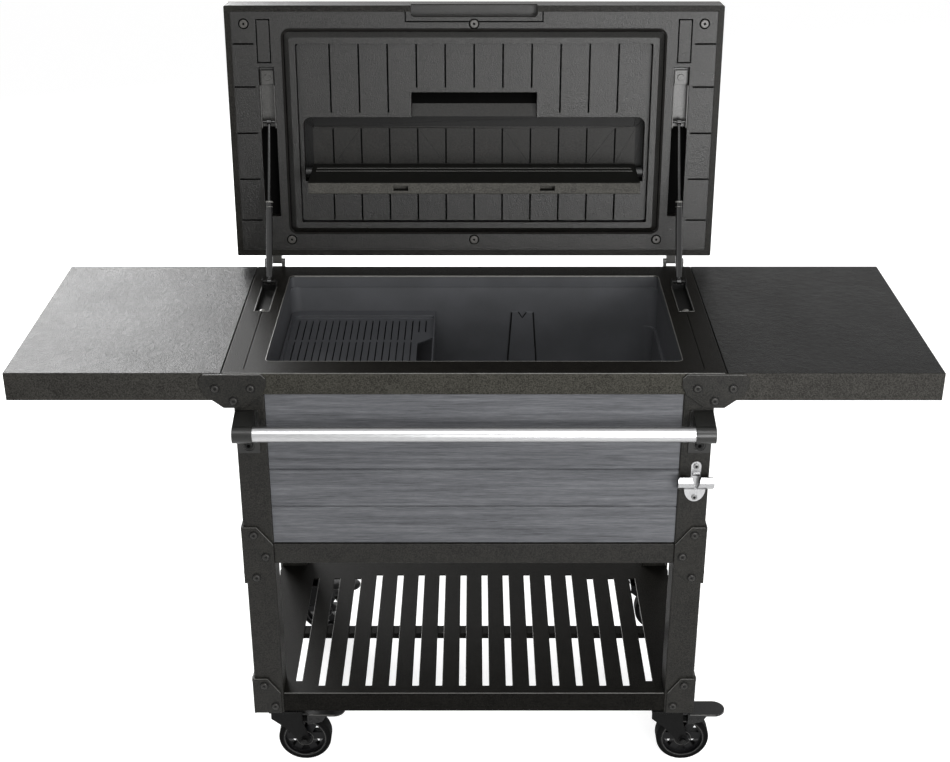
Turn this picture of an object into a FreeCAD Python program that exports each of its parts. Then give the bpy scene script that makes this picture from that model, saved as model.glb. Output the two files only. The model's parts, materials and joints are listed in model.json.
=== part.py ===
import math
import os

import FreeCAD
import Part

# All sizes are in millimetres.
# x runs along the front, y back from the front faces of the posts, z up from the floor.

# Overall sizes of the frame
WORK_TOP_Z = 874.0
BODY_DEPTH = 521.0
POST_SPAN = 861.2
POST_SIDE = 55.6
POST_WALL = 2.5
DECK_OVERHANG = 18.9
DECK_EDGE = 41.4
SHEET = 2.5
BEND_RADIUS = 2.0
POST_CORNER_RADIUS = 3.0
GAP = 0.3
CUT_PAST = 1.0
EDGE_TOLERANCE = 0.001

# Lower rails of the box and the shelf near the floor
BOX_RAIL_TOP_Z = 520.0
BOX_RAIL_HEIGHT = 42.0
RAIL_FLANGE = 22.0
SHELF_TOP_Z = 177.0
SHELF_RAIL_HEIGHT = 43.0
SLOT_COUNT = 16
SLOT_WIDTH = 13.0
SLOT_FRONT_MARGIN = 25.0
SLOT_REAR_MARGIN = 93.0
OUTER_SLOTS = 3
OUTER_SLOT_TRIM = 15.0
BRACE_FRONT_Y = 207.0
BRACE_WIDTH = 28.0
BRACE_HEIGHT = 12.5

# Planks round the box
PLANKS_PER_SIDE = 4
PLANK_THICKNESS = 15.0
PLANK_SET_BACK = 4.0
PLANK_CHAMFER = 2.4
PLANK_GAP = 0.8

# Side tables
TABLE_WIDTH = 387.6
TABLE_EDGE = 53.5
TABLE_LIP = 16.0
BEAM_WIDTH = 40.0
BEAM_HEIGHT = 24.0
BEAM_INSET = 70.0

# Tub, foam and drain
DECK_LINE_FRONT_Y = 18.0
DECK_LINE_WIDTH = 2.4
DECK_LINE_DEPTH = 1.2
RIM_DROP = 25.0
RIM_CORNER_RADIUS = 9.0
TUB_PAST_POST_X = 2.0
TUB_INSIDE_POST_FRONT = 4.6
TUB_INSIDE_POST_REAR = 2.6
TUB_CORNER_RADIUS = 22.0
LINER_WALL = 2.5
LINER_FLANGE = 12.0
FOAM_UNDER_TUB = 50.0
FOAM_CLEARANCE = 0.5
FOAM_EDGE_GAP = 1.0
RIM_CLEARANCE = 1.0
LEDGE_DEPTH_BELOW_TOP = 112.0
LEDGE_WIDTH = 6.0
PILASTER_X = 100.0
PILASTER_TOP_WIDTH = 44.0
PILASTER_SPREAD = 14.0
PILASTER_PROUD = 3.0
PILASTER_TOP_DROP = 80.0
PILASTER_LENGTH = 200.0
PILASTER_MARK_HALF = 8.8
DRAIN_INSET = 77.0
DRAIN_OUTER_RADIUS = 13.0
DRAIN_BORE_RADIUS = 8.0
DRAIN_FLANGE_RADIUS = 21.0
DRAIN_FLANGE = 2.0
DRAIN_TAIL = 24.0
CAP_WALL = 3.0
CAP_HEIGHT = 18.0

# Lift-out tray
TRAY_WIDTH = 296.0
TRAY_TOP_DROP = 78.0
TRAY_PLATE_DROP = 84.0
TRAY_PLATE = 3.0
TRAY_RIM = 6.0
TRAY_REAR_LIP = 24.0
TRAY_CLEARANCE = 1.5
TRAY_OUTER_CORNER = 5.0
TRAY_SLOT_PITCH = 13.6
TRAY_SLOT_WIDTH = 2.4
TRAY_SLOT_COUNT = 20
TRAY_REAR_ROW = (36.0, 132.5)
TRAY_FRONT_ROW = (141.5, 372.0)
TRAY_SHORT_ROW_END = 94.5
TRAY_HOLE_WIDTH = 30.0
TRAY_HOLE_REAR = 121.0
TRAY_HOLE_SLANT = 26.0

# Corner plates and their bolts
PLATE_THICKNESS = 3.5
PLATE_EDGE_RADIUS = 1.0
BOLT_HEAD_RADIUS = 7.0
BOLT_HEAD_HEIGHT = 3.6
BOLT_SOCKET_DEPTH = 2.1
TABLE_PLATE_HALF = 59.5
TABLE_PLATE_TOP = 1.0
TABLE_PLATE_SHOULDER = 24.0
TABLE_PLATE_WAIST = 42.0
TABLE_PLATE_DROP = 67.5
TABLE_PLATE_TIP_HALF = 18.0
MID_PLATE_RISE = 38.4
MID_PLATE_DROP = 84.3
MID_PLATE_REACH = 55.0
MID_PLATE_EDGE = 25.6
MID_PLATE_SLOPE = 37.4
MID_PLATE_LOW_SLOPE = 33.3
FOOT_PLATE_RISE = 37.4
FOOT_PLATE_REACH = 51.0
FOOT_PLATE_EDGE = 26.1
FOOT_PLATE_SLOPE = 34.4
TABLE_BOLTS = ((-31.7, 28.5), (31.7, 28.5), (0.0, 53.0))
MID_BOLTS = ((19.6, 21.5), (39.6, -25.6), (19.6, -71.5))
FOOT_BOLTS = ((19.0, 21.0), (38.5, -28.0))

# Handle bar across the front
HANDLE_RADIUS = 14.0
HANDLE_INSET = 37.6
HANDLE_DROP = 99.0
HANDLE_STAND_OFF = 45.0
HANDLE_CAP_LENGTH = 36.0
HANDLE_CAP_WALL = 2.0
HANDLE_PLATE = 3.0
HANDLE_PLATE_EXTRA = 5.0
HANDLE_PLATE_RISE = 26.0
HANDLE_ARM_INSET = 0.5
HANDLE_ARM_TOP = 6.0
HANDLE_ARM_FOOT = 7.0
HANDLE_SCREW_DROP = 44.7
HANDLE_FOOT_DROP = 15.0
HANDLE_DISH_RADIUS = 11.0
HANDLE_DISH_DEPTH = 1.5
HANDLE_SCREW_RADIUS = 8.0
HANDLE_SCREW_HEIGHT = 4.0

# Bottle opener on the right front post
OPENER_DROP = 177.0
OPENER_INSET = 25.1
OPENER_HEIGHT = 83.0
OPENER_THICKNESS = 2.5
OPENER_REACH = 20.0
OPENER_BAR_HALF_WIDTH = 33.0
OPENER_TAB_RADIUS = 9.2
OPENER_LIP = 3.0
OPENER_TOOTH_HALF = 4.0
OPENER_TOOTH_REACH = 9.0
OPENER_TOOTH_RISE = 6.0
OPENER_TOOTH_TIP = 3.0
OPENER_SHIELD_HALF = 19.6
OPENER_CORNER_RADIUS = 4.5
OPENER_NOTCH_TOP_HALF = 8.5
OPENER_NOTCH_FOOT_HALF = 2.8
OPENER_SCREW_RADIUS = 5.5
OPENER_SCREW_HEIGHT = 2.5
OPENER_LOWER_SCREW = 9.0

# Casters
PLATE_UNDERSIDE_Z = 127.6
MOUNT_PLATE = 4.0
MOUNT_HALF_X = 27.0
MOUNT_HALF_Y = 34.0
WHEEL_RADIUS = 52.5
WHEEL_WIDTH = 32.0
TYRE_THICKNESS = 9.0
TYRE_SHOULDER = 4.0
HUB_RADIUS = 12.0
SPOKES = 6
SPOKE_SHARE = 0.44
RIM_LIP = 4.0
CASTER_TRAIL = 39.5
SWIVEL_INSET_X = 50.6
SWIVEL_INSET_Y = 34.0
RACE_RADIUS = 27.0
RACE_HEIGHT = 7.0
RACE_OVERLAP = 2.0
STEM_RADIUS = 6.0
STEM_LENGTH = 16.0
CHEEK = 3.5
CHEEK_CLEARANCE = 2.0
AXLE_RADIUS = 4.0
NUT_RADIUS = 8.0
NUT_HEIGHT = 2.5
FORK_BOSS = 3.0
FORK_TOE = 2.0
FORK_FOOT_DROP = 4.0
FORK_STEP = 6.0
FORK_STEP_RISE = 26.0
FORK_SHOULDER_RISE = 46.0
FORK_BACK_X = 2.0
FORK_BACK_LOW_RISE = 30.0
FORK_BACK_TOP_RISE = 52.0
RUNNING_FIT = 0.05
PEDAL_LENGTH = 121.7
PEDAL_WIDTH = 45.0
PEDAL_THICKNESS = 4.0
PEDAL_TONGUE_END = 50.0
PEDAL_SKIRT = 2.5
PEDAL_SKIRT_TOP_X = 84.0
PEDAL_SKIRT_LOW_X = 76.0
PEDAL_SKIRT_FRONT_DROP = 13.0
PEDAL_SKIRT_BACK_DROP = 19.0
PEDAL_OVERLAP = 3.0
PEDAL_BARREL_WALL = 3.0
PEDAL_RIB_HALF = 1.5
PEDAL_PIN_MARGIN = 7.0
PEDAL_RIVET_DROP = 9.0
PEDAL_PIN_X = 30.0
PEDAL_PIN_Z = 113.0
PEDAL_PIN_RADIUS = 2.5
PEDAL_RIVETS = (53.0, 68.0)
PEDAL_RIVET_RADIUS = 3.6
PEDAL_RIVET_HEIGHT = 1.2

# Lid, drawn closed and then turned open about its rear hinge
LID_OVERHANG = 40.0
LID_REAR_SET_BACK = 7.4
LID_FRONT_SET_BACK = 5.0
LID_THICKNESS = 59.0
LID_GAP = 2.5
LID_SKIN = 2.0
LID_CORNER_RADIUS = 3.0
LID_LIP = 12.0
LID_LIP_THICKNESS = 1.5
LID_PANEL = 3.0
LID_OPEN_ANGLE = 93.73
LID_SCREW_HEAD = 8.0
LID_SCREW_HEIGHT = 2.2
LID_SCREW_SHANK = 2.5
LID_SCREW_MARGIN = 6.0
LID_SCREW_REAR_D = 34.0
SEAL_INNER = 1.0
SEAL_OUTER = 5.0
SEAL_PROUD = 0.5

# Hinges at the rear
HINGE_Y_BEHIND = 6.5
HINGE_RISE = 9.5
HINGE_BARREL_RADIUS = 5.5
HINGE_PIN_RADIUS = 3.0
HINGE_END_MARGIN = 54.5
HINGE_LENGTH = 42.0
HINGE_OUTER_KNUCKLE = 7.0
HINGE_INNER_KNUCKLE = 7.0
HINGE_PLATE = 3.0
HINGE_PLATE_DROP = 60.0
HINGE_SCREW_INSET = 12.0
HINGE_SCREW_SPACING = 28.0
HINGE_SCREW_RADIUS = 5.0
HINGE_SCREW_HEIGHT = 2.5
LEAF_TOP_DEPTH = 21.0

# Raised bead frame round the grooved inner panel
BEAD_CLEARANCE_X = 2.0
BEAD_CLEARANCE_REAR = 5.4
BEAD_CLEARANCE_FRONT = 3.6
BEAD_SLOPE = 11.0
BEAD_HEIGHT = 10.0
BEAD_BAND = 12.0
BEAD_CORNER_RADIUS = 12.0
BEAD_TOP_RADIUS = 5.0
BEAD_INNER_RADIUS = 3.0
GROOVE_WIDTH = 3.2
GROOVE_BAND_GAP = 2.0
GROOVE_DEPTH = 1.5
GROOVES_EACH_SIDE = 5
GROOVE_END_GAP = 9.0
THIN_GROOVE_WIDTH = 2.4
THIN_GROOVE_DEPTH = 1.2
BORDER_GROOVE_PARTS = (0.148, 0.317, 0.503, 0.686, 0.853)

# Recess, finger notch and handle notch in the lid
RECESS_MARGIN_X = 9.0
RECESS_REAR_D = 157.0
RECESS_FRONT_D = 288.6
RECESS_DEPTH = 27.5
RECESS_CORNER_RADIUS = 16.0
PAD_PROUD = 1.5
PAD_REAR_MARGIN = 9.5
PAD_FRONT_MARGIN = 24.0
PAD_CORNER_RADIUS = 4.0
PAD_GROOVE_DEPTH = 1.0
NOTCH_HALF_WIDTH = 125.5
NOTCH_HEIGHT = 50.0
NOTCH_DEPTH = 20.0
NOTCH_SLOPE_START = 0.48
NOTCH_SLOPE_DEPTH = 0.45
GRIP_HALF_WIDTH = 124.0
GRIP_LENGTH = 22.6
GRIP_DEPTH = 20.0
GRIP_CORNER_RADIUS = 7.0
GRIP_LINE_MARGIN = 12.0
POCKET_WALL = 3.0

# Fold-down shelf in the lid
FLAP_LUG_LENGTH = 16.0
FLAP_THICKNESS = 23.0
FLAP_TAIL_CLEARANCE = 7.5
FLAP_PIVOT_DEPTH = 10.0
FLAP_TAIL = 10.0
FLAP_END_GAP = 1.2
FLAP_EDGE_RADIUS = 2.5
FLAP_PIN_RADIUS = 4.0
FLAP_LUG_RADIUS = 9.0
FLAP_SLOT_X = 144.5
FLAP_SLOT_HALF = 14.5
FLAP_SLOT_DEPTH = 14.0
FLAP_SLOT_LOW = 7.0
FLAP_SLOT_HIGH = 17.0

# Gas struts
STRUT_INSET = 37.5
STRUT_POCKET_WIDTH = 31.5
STRUT_POCKET_DEPTH = 20.5
CHANNEL_WIDTH = 30.0
CHANNEL_WALL = 2.0
STRUT_LOWER_FROM_REAR = 109.0
STRUT_LOWER_RISE = 10.0
STRUT_UPPER_D = 278.0
STRUT_UPPER_DEPTH = 8.0
STRUT_TUBE_RADIUS = 6.75
STRUT_ROD_RADIUS = 3.0
STRUT_PIN_RADIUS = 3.0
STRUT_EYE_RADIUS = 6.0
STRUT_EYE_WIDTH = 8.0
STRUT_NECK_RADIUS = 3.8
STRUT_TUBE_SHORT = 8.4
STRUT_ROD_SHORT = 5.0
STRUT_PIN_CLEARANCE = 1.0
LOWER_CHANNEL_LENGTH = 131.0
LOWER_CHANNEL_DEPTH = 10.0
EAR_LENGTH = 18.0
UPPER_CHANNEL_REAR = 12.0
UPPER_CHANNEL_FRONT = 106.0
UPPER_CHANNEL_MARGIN = 4.0
BRACKET_STUD_RADIUS = 6.5
BRACKET_STUD_HEIGHT = 2.5
BRACKET_BLOCK_HALF = 12.0
BRACKET_BLOCK_LENGTH = 28.0
BRACKET_BLOCK_HEIGHT = 8.0

# Lengths that follow from the sizes above
DECK_WIDTH = POST_SPAN + 2 * DECK_OVERHANG
DECK_HALF = DECK_WIDTH / 2
POST_OUT_X = POST_SPAN / 2
POST_IN_X = POST_OUT_X - POST_SIDE
POST_TOP_Z = WORK_TOP_Z - DECK_EDGE
POST_BOTTOM_Z = PLATE_UNDERSIDE_Z + MOUNT_PLATE
SLOT_PITCH = (POST_SPAN - 2 * POST_SIDE) / (SLOT_COUNT + 0.13)
TABLE_INNER_X = DECK_HALF + GAP
TABLE_OUTER_X = TABLE_INNER_X + TABLE_WIDTH
TUB_HALF = POST_IN_X + TUB_PAST_POST_X
TUB_FRONT_Y = POST_SIDE - TUB_INSIDE_POST_FRONT
TUB_REAR_Y = BODY_DEPTH - POST_SIDE + TUB_INSIDE_POST_REAR
BOX_FLOOR_Z = BOX_RAIL_TOP_Z - BOX_RAIL_HEIGHT + SHEET
TUB_FLOOR_Z = BOX_FLOOR_Z + SHEET + FOAM_UNDER_TUB + LINER_WALL
DRAIN_X = TUB_HALF - DRAIN_INSET
DRAIN_Y = BODY_DEPTH / 2
LEDGE_Z = WORK_TOP_Z - LEDGE_DEPTH_BELOW_TOP
PLANK_BACK = PLANK_SET_BACK + PLANK_THICKNESS
HANDLE_Z = WORK_TOP_Z - HANDLE_DROP
HANDLE_HALF_LENGTH = POST_OUT_X - HANDLE_INSET
OPENER_X = POST_OUT_X - OPENER_INSET
SWIVEL_X = POST_OUT_X - SWIVEL_INSET_X
SWIVEL_YS = (SWIVEL_INSET_Y, BODY_DEPTH - SWIVEL_INSET_Y)
LID_HALF = DECK_HALF + LID_OVERHANG
LID_REAR_Y = BODY_DEPTH - LID_REAR_SET_BACK
LID_DEPTH = LID_REAR_Y - LID_FRONT_SET_BACK
LID_FACE_Z = WORK_TOP_Z + LID_GAP
PANEL_DEPTH = LID_LIP_THICKNESS
HINGE_Y = BODY_DEPTH + HINGE_Y_BEHIND
HINGE_Z = WORK_TOP_Z + HINGE_RISE
HINGE_OUTER_X = LID_HALF - HINGE_END_MARGIN
HINGE_INNER_X = HINGE_OUTER_X - HINGE_LENGTH
LEAF_INNER_X = HINGE_INNER_X + HINGE_INNER_KNUCKLE
LEAF_OUTER_X = HINGE_OUTER_X - HINGE_OUTER_KNUCKLE
BEAD_HALF_WIDTH = TUB_HALF - BEAD_CLEARANCE_X
BEAD_REAR_D = LID_REAR_Y - TUB_REAR_Y + BEAD_CLEARANCE_REAR
BEAD_FRONT_D = LID_REAR_Y - TUB_FRONT_Y - BEAD_CLEARANCE_FRONT
PANEL_HALF = BEAD_HALF_WIDTH - BEAD_SLOPE - BEAD_BAND
GROOVE_PITCH = PANEL_HALF * 0.1625
RECESS_HALF_WIDTH = PANEL_HALF - RECESS_MARGIN_X
FLAP_HALF_WIDTH = RECESS_HALF_WIDTH - FLAP_LUG_LENGTH
FLAP_OPEN_ANGLE = LID_OPEN_ANGLE
FLAP_PIVOT_D = RECESS_REAR_D + FLAP_TAIL + FLAP_TAIL_CLEARANCE
PAD_REAR_D = FLAP_PIVOT_D + PAD_REAR_MARGIN
PAD_FRONT_D = RECESS_FRONT_D - PAD_FRONT_MARGIN
STRUT_X = DECK_HALF - STRUT_INSET
STRUT_LOWER_Y = BODY_DEPTH - STRUT_LOWER_FROM_REAR
LOWER_CHANNEL_FRONT_Y = STRUT_LOWER_Y - LOWER_CHANNEL_LENGTH
LID_SCREW_FRONT_D = BEAD_FRONT_D + LID_SCREW_HEAD + LID_SCREW_MARGIN


# Basic shapes

def box(x0, x1, y0, y1, z0, z1):
    corner = FreeCAD.Vector(x0, y0, z0)
    return Part.makeBox(x1 - x0, y1 - y0, z1 - z0, corner)


def rod_x(radius, x0, x1, y, z):
    return Part.makeCylinder(radius, x1 - x0, FreeCAD.Vector(x0, y, z), FreeCAD.Vector(1, 0, 0))


def rod_y(radius, y0, y1, x, z):
    return Part.makeCylinder(radius, y1 - y0, FreeCAD.Vector(x, y0, z), FreeCAD.Vector(0, 1, 0))


def rod_z(radius, z0, z1, x, y):
    return Part.makeCylinder(radius, z1 - z0, FreeCAD.Vector(x, y, z0), FreeCAD.Vector(0, 0, 1))


def prism_x(outline, x0, x1):
    # The outline is a list of (y, z) corners.
    corners = [FreeCAD.Vector(x0, y, z) for y, z in outline]
    face = Part.Face(Part.makePolygon(corners + corners[:1]))
    return face.extrude(FreeCAD.Vector(x1 - x0, 0, 0))


def prism_y(outline, y0, y1):
    # The outline is a list of (x, z) corners.
    corners = [FreeCAD.Vector(x, y0, z) for x, z in outline]
    face = Part.Face(Part.makePolygon(corners + corners[:1]))
    return face.extrude(FreeCAD.Vector(0, y1 - y0, 0))


def upright_edges(shape, height):
    return [edge for edge in shape.Edges if abs(edge.BoundBox.ZLength - height) < EDGE_TOLERANCE]


def rounded_box(x0, x1, y0, y1, z0, z1, radius):
    block = box(x0, x1, y0, y1, z0, z1)
    return block.makeFillet(radius, upright_edges(block, z1 - z0))


def bent_block(x0, x1, y0, y1, z0, z1):
    # A block of folded sheet: its upper edges and its corners are bends.
    block = box(x0, x1, y0, y1, z0, z1)
    bends = [
        edge for edge in block.Edges
        if edge.BoundBox.ZMin > z1 - EDGE_TOLERANCE or edge.BoundBox.ZLength > BEND_RADIUS
    ]
    return block.makeFillet(BEND_RADIUS, bends)


def rounded_outline(x0, x1, y0, y1, z, radius):
    # A flat rectangle with round corners, at one level.
    block = rounded_box(x0, x1, y0, y1, z, z + CUT_PAST, radius)
    low = [face for face in block.Faces if face.BoundBox.ZMax < z + EDGE_TOLERANCE]
    return low[0].OuterWire


def joined(shapes):
    result = shapes[0]
    for shape in shapes[1:]:
        result = result.fuse(shape)
    return result.removeSplitter()


def without(shape, tools):
    if not tools:
        return shape
    return shape.cut(Part.makeCompound(tools))


def mirrored(shape):
    return shape.mirror(FreeCAD.Vector(0, 0, 0), FreeCAD.Vector(1, 0, 0))


def both_sides(shape):
    return Part.makeCompound([shape, mirrored(shape)])


def moved(shape, x, y, z):
    result = shape.copy()
    result.translate(FreeCAD.Vector(x, y, z))
    return result


def front_to_rear(shape):
    # The same shape at the rear of the frame, seen in a mirror half way back.
    return shape.mirror(FreeCAD.Vector(0, BODY_DEPTH / 2, 0), FreeCAD.Vector(0, 1, 0))


def turned_about_x(shape, angle, y, z):
    result = shape.copy()
    result.rotate(FreeCAD.Vector(0, y, z), FreeCAD.Vector(1, 0, 0), angle)
    return result


# Frame

def post(x0, y0):
    outside = rounded_box(
        x0, x0 + POST_SIDE, y0, y0 + POST_SIDE, POST_BOTTOM_Z, POST_TOP_Z, POST_CORNER_RADIUS,
    )
    inside = box(
        x0 + POST_WALL, x0 + POST_SIDE - POST_WALL,
        y0 + POST_WALL, y0 + POST_SIDE - POST_WALL,
        POST_BOTTOM_Z - CUT_PAST, POST_TOP_Z + CUT_PAST,
    )
    return outside.cut(inside)


def post_blocks():
    # Solid blocks the size of the posts, for making room round them.
    rear_y = BODY_DEPTH - POST_SIDE
    blocks = []
    for x0 in (POST_IN_X, -POST_OUT_X):
        for y0 in (0.0, rear_y):
            blocks.append(box(x0, x0 + POST_SIDE, y0, y0 + POST_SIDE, POST_BOTTOM_Z, POST_TOP_Z))
    return blocks


def tub_hole(grow, z0, z1, radius=TUB_CORNER_RADIUS):
    # The outline of the tub opening, grown by the given amount all round.
    return rounded_box(
        -TUB_HALF - grow, TUB_HALF + grow,
        TUB_FRONT_Y - grow, TUB_REAR_Y + grow,
        z0, z1, radius + grow,
    )


def rim_hole(grow, z0, z1):
    # The same opening with the tighter corners of the sheet metal rim.
    return tub_hole(grow, z0, z1, RIM_CORNER_RADIUS)


def lower_channel_block():
    half = CHANNEL_WIDTH / 2
    return box(
        STRUT_X - half, STRUT_X + half,
        LOWER_CHANNEL_FRONT_Y, STRUT_LOWER_Y + LOWER_CHANNEL_DEPTH,
        WORK_TOP_Z - LOWER_CHANNEL_DEPTH - CHANNEL_WALL, WORK_TOP_Z + CUT_PAST,
    )


def deck_line():
    # A narrow line pressed into the deck, from the strut channel towards the front.
    half = DECK_LINE_WIDTH / 2
    x = STRUT_X - half
    return box(
        x - half, x + half, DECK_LINE_FRONT_Y, LOWER_CHANNEL_FRONT_Y,
        WORK_TOP_Z - DECK_LINE_DEPTH, WORK_TOP_Z + CUT_PAST,
    )


def deck_frame():
    bottom = POST_TOP_Z
    outside = bent_block(-DECK_HALF, DECK_HALF, 0, BODY_DEPTH, bottom, WORK_TOP_Z)
    hollow = box(
        -DECK_HALF + SHEET, DECK_HALF - SHEET, SHEET, BODY_DEPTH - SHEET,
        bottom + SHEET, WORK_TOP_Z - SHEET,
    )
    lower_hole = rim_hole(LINER_WALL + RIM_CLEARANCE, bottom - CUT_PAST, bottom + SHEET + CUT_PAST)
    lip = rim_hole(SHEET, WORK_TOP_Z - RIM_DROP, WORK_TOP_Z)
    frame = outside.cut(hollow).cut(lower_hole).fuse(lip)
    frame = frame.cut(rim_hole(0.0, bottom - CUT_PAST, WORK_TOP_Z + CUT_PAST))
    return without(frame, [both_sides(lower_channel_block()), both_sides(deck_line())])


def channel_profile(top_z, height):
    # An open channel as (depth in from its outer face, z), with bevelled bends.
    low = top_z - height
    bend = BEND_RADIUS / 2
    return [
        (0, low + bend), (bend, low), (RAIL_FLANGE, low), (RAIL_FLANGE, low + SHEET),
        (SHEET, low + SHEET), (SHEET, top_z - SHEET), (RAIL_FLANGE, top_z - SHEET),
        (RAIL_FLANGE, top_z), (bend, top_z), (0, top_z - bend),
    ]


def channel_rail_x(x0, x1, top_z, height):
    # Channel along the front: upright web in front, flanges pointing back.
    return prism_x(channel_profile(top_z, height), x0, x1)


def channel_rail_y(y0, y1, top_z, height):
    # The same channel along the right side, flanges pointing inwards.
    outline = [(POST_OUT_X - depth, z) for depth, z in channel_profile(top_z, height)]
    return prism_y(outline, y0, y1)


def rail_ring(top_z, height):
    front = channel_rail_x(-POST_IN_X, POST_IN_X, top_z, height)
    side = channel_rail_y(POST_SIDE, BODY_DEPTH - POST_SIDE, top_z, height)
    return [front, front_to_rear(front), side, mirrored(side)]


def shelf_rails():
    rails = rail_ring(SHELF_TOP_Z - SHEET, SHELF_RAIL_HEIGHT - SHEET)
    top = SHELF_TOP_Z - SHEET
    reach = POST_OUT_X - RAIL_FLANGE
    brace = box(-reach, reach, BRACE_FRONT_Y, BRACE_FRONT_Y + BRACE_WIDTH, top - BRACE_HEIGHT, top)
    inside = box(
        -reach - CUT_PAST, reach + CUT_PAST, BRACE_FRONT_Y + SHEET, BRACE_FRONT_Y + BRACE_WIDTH - SHEET,
        top - BRACE_HEIGHT - CUT_PAST, top - SHEET,
    )
    return Part.makeCompound(rails + [brace.cut(inside)])


def shelf_panel():
    plate = box(-POST_OUT_X, POST_OUT_X, 0, BODY_DEPTH, SHELF_TOP_Z - SHEET, SHELF_TOP_Z)
    tools = post_blocks()
    first_x = -SLOT_PITCH * (SLOT_COUNT - 1) / 2
    rear_y = BODY_DEPTH - SLOT_REAR_MARGIN
    for index in range(SLOT_COUNT):
        centre = first_x + index * SLOT_PITCH
        from_side = min(index, SLOT_COUNT - 1 - index)
        front_trim = OUTER_SLOT_TRIM if from_side == 0 else 0.0
        rear_trim = OUTER_SLOT_TRIM if from_side < OUTER_SLOTS else 0.0
        tools.append(box(
            centre - SLOT_WIDTH / 2, centre + SLOT_WIDTH / 2,
            SLOT_FRONT_MARGIN + front_trim, rear_y - rear_trim,
            SHELF_TOP_Z - SHEET - CUT_PAST, SHELF_TOP_Z + CUT_PAST,
        ))
    return without(plate, tools)


def plank_profile(bottom, top):
    # One plank in section as (depth behind the post faces, z), its long outer edges chamfered.
    face = PLANK_SET_BACK
    return [
        (PLANK_BACK, bottom), (PLANK_BACK, top),
        (face + PLANK_CHAMFER, top), (face, top - PLANK_CHAMFER),
        (face, bottom + PLANK_CHAMFER), (face + PLANK_CHAMFER, bottom),
    ]


def plank_levels():
    step = (POST_TOP_Z - BOX_RAIL_TOP_Z) / PLANKS_PER_SIDE
    levels = []
    for index in range(PLANKS_PER_SIDE):
        bottom = BOX_RAIL_TOP_Z + index * step
        gap = PLANK_GAP if index else 0.0
        levels.append((bottom + gap, bottom + step))
    return levels


def front_planks():
    planks = [prism_x(plank_profile(*level), -POST_IN_X, POST_IN_X) for level in plank_levels()]
    return Part.makeCompound(planks)


def side_planks():
    planks = []
    for level in plank_levels():
        outline = [(POST_OUT_X - depth, z) for depth, z in plank_profile(*level)]
        plank = prism_y(outline, POST_SIDE, BODY_DEPTH - POST_SIDE)
        planks.extend([plank, mirrored(plank)])
    return Part.makeCompound(planks)


def box_floor():
    plate = box(
        -POST_OUT_X + PLANK_BACK, POST_OUT_X - PLANK_BACK,
        PLANK_BACK, BODY_DEPTH - PLANK_BACK, BOX_FLOOR_Z, BOX_FLOOR_Z + SHEET,
    )
    drain = rod_z(
        DRAIN_OUTER_RADIUS + RUNNING_FIT, BOX_FLOOR_Z - CUT_PAST, BOX_FLOOR_Z + SHEET + CUT_PAST,
        DRAIN_X, DRAIN_Y,
    )
    return without(plate, post_blocks() + [drain])


# Tub, foam, drain and tray

def liner_shell(grow):
    # The liner as a solid block, grown by the given amount.
    top = WORK_TOP_Z - RIM_DROP - LINER_WALL
    upper = tub_hole(LINER_WALL + grow, LEDGE_Z - LINER_WALL - grow, top)
    lower = rounded_box(
        -TUB_HALF + LEDGE_WIDTH - LINER_WALL - grow, TUB_HALF - LEDGE_WIDTH + LINER_WALL + grow,
        TUB_FRONT_Y - LINER_WALL - grow, TUB_REAR_Y + LINER_WALL + grow,
        TUB_FLOOR_Z - LINER_WALL - grow, LEDGE_Z - LINER_WALL - grow, TUB_CORNER_RADIUS,
    )
    flange = tub_hole(LINER_FLANGE + grow, top - grow, WORK_TOP_Z - RIM_DROP)
    return upper.fuse(lower).fuse(flange)


def tub_space():
    # The room inside the tub, from its floor to above its rim.
    upper = tub_hole(0.0, LEDGE_Z, WORK_TOP_Z + CUT_PAST)
    lower = rounded_box(
        -TUB_HALF + LEDGE_WIDTH, TUB_HALF - LEDGE_WIDTH, TUB_FRONT_Y, TUB_REAR_Y,
        TUB_FLOOR_Z, LEDGE_Z + CUT_PAST, TUB_CORNER_RADIUS - LINER_WALL,
    )
    return upper.fuse(lower)


def tray_span():
    left = -TUB_HALF + TRAY_CLEARANCE
    return left, left + TRAY_WIDTH


def tray_rests():
    # Two short ledges that carry the front and rear edges of the tray.
    left = -TUB_HALF + LEDGE_WIDTH
    right = tray_span()[1] - TRAY_RIM
    low = LEDGE_Z - 2 * LEDGE_WIDTH
    front = prism_x(
        [(TUB_FRONT_Y, low), (TUB_FRONT_Y + LEDGE_WIDTH, LEDGE_Z - LINER_WALL),
         (TUB_FRONT_Y + LEDGE_WIDTH, LEDGE_Z), (TUB_FRONT_Y, LEDGE_Z)],
        left + TUB_CORNER_RADIUS, right,
    )
    rear = prism_x(
        [(TUB_REAR_Y, low), (TUB_REAR_Y - LEDGE_WIDTH, LEDGE_Z - LINER_WALL),
         (TUB_REAR_Y - LEDGE_WIDTH, LEDGE_Z), (TUB_REAR_Y, LEDGE_Z)],
        left + TUB_CORNER_RADIUS, right,
    )
    return [front, rear]


def pilaster():
    top = WORK_TOP_Z - PILASTER_TOP_DROP
    foot = top - PILASTER_LENGTH
    half_top = PILASTER_TOP_WIDTH / 2
    half_foot = half_top + PILASTER_SPREAD
    outline = [
        (PILASTER_X - half_foot, foot), (PILASTER_X + half_foot, foot),
        (PILASTER_X + half_top, top), (PILASTER_X - half_top, top),
    ]
    strip = prism_y(outline, TUB_REAR_Y - PILASTER_PROUD, TUB_REAR_Y)
    mark = prism_y(
        [(PILASTER_X - PILASTER_MARK_HALF, top + CUT_PAST), (PILASTER_X, top - PILASTER_MARK_HALF * 1.4),
         (PILASTER_X + PILASTER_MARK_HALF, top + CUT_PAST)],
        TUB_REAR_Y - PILASTER_PROUD - CUT_PAST, TUB_REAR_Y,
    )
    return strip.cut(mark)


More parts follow.
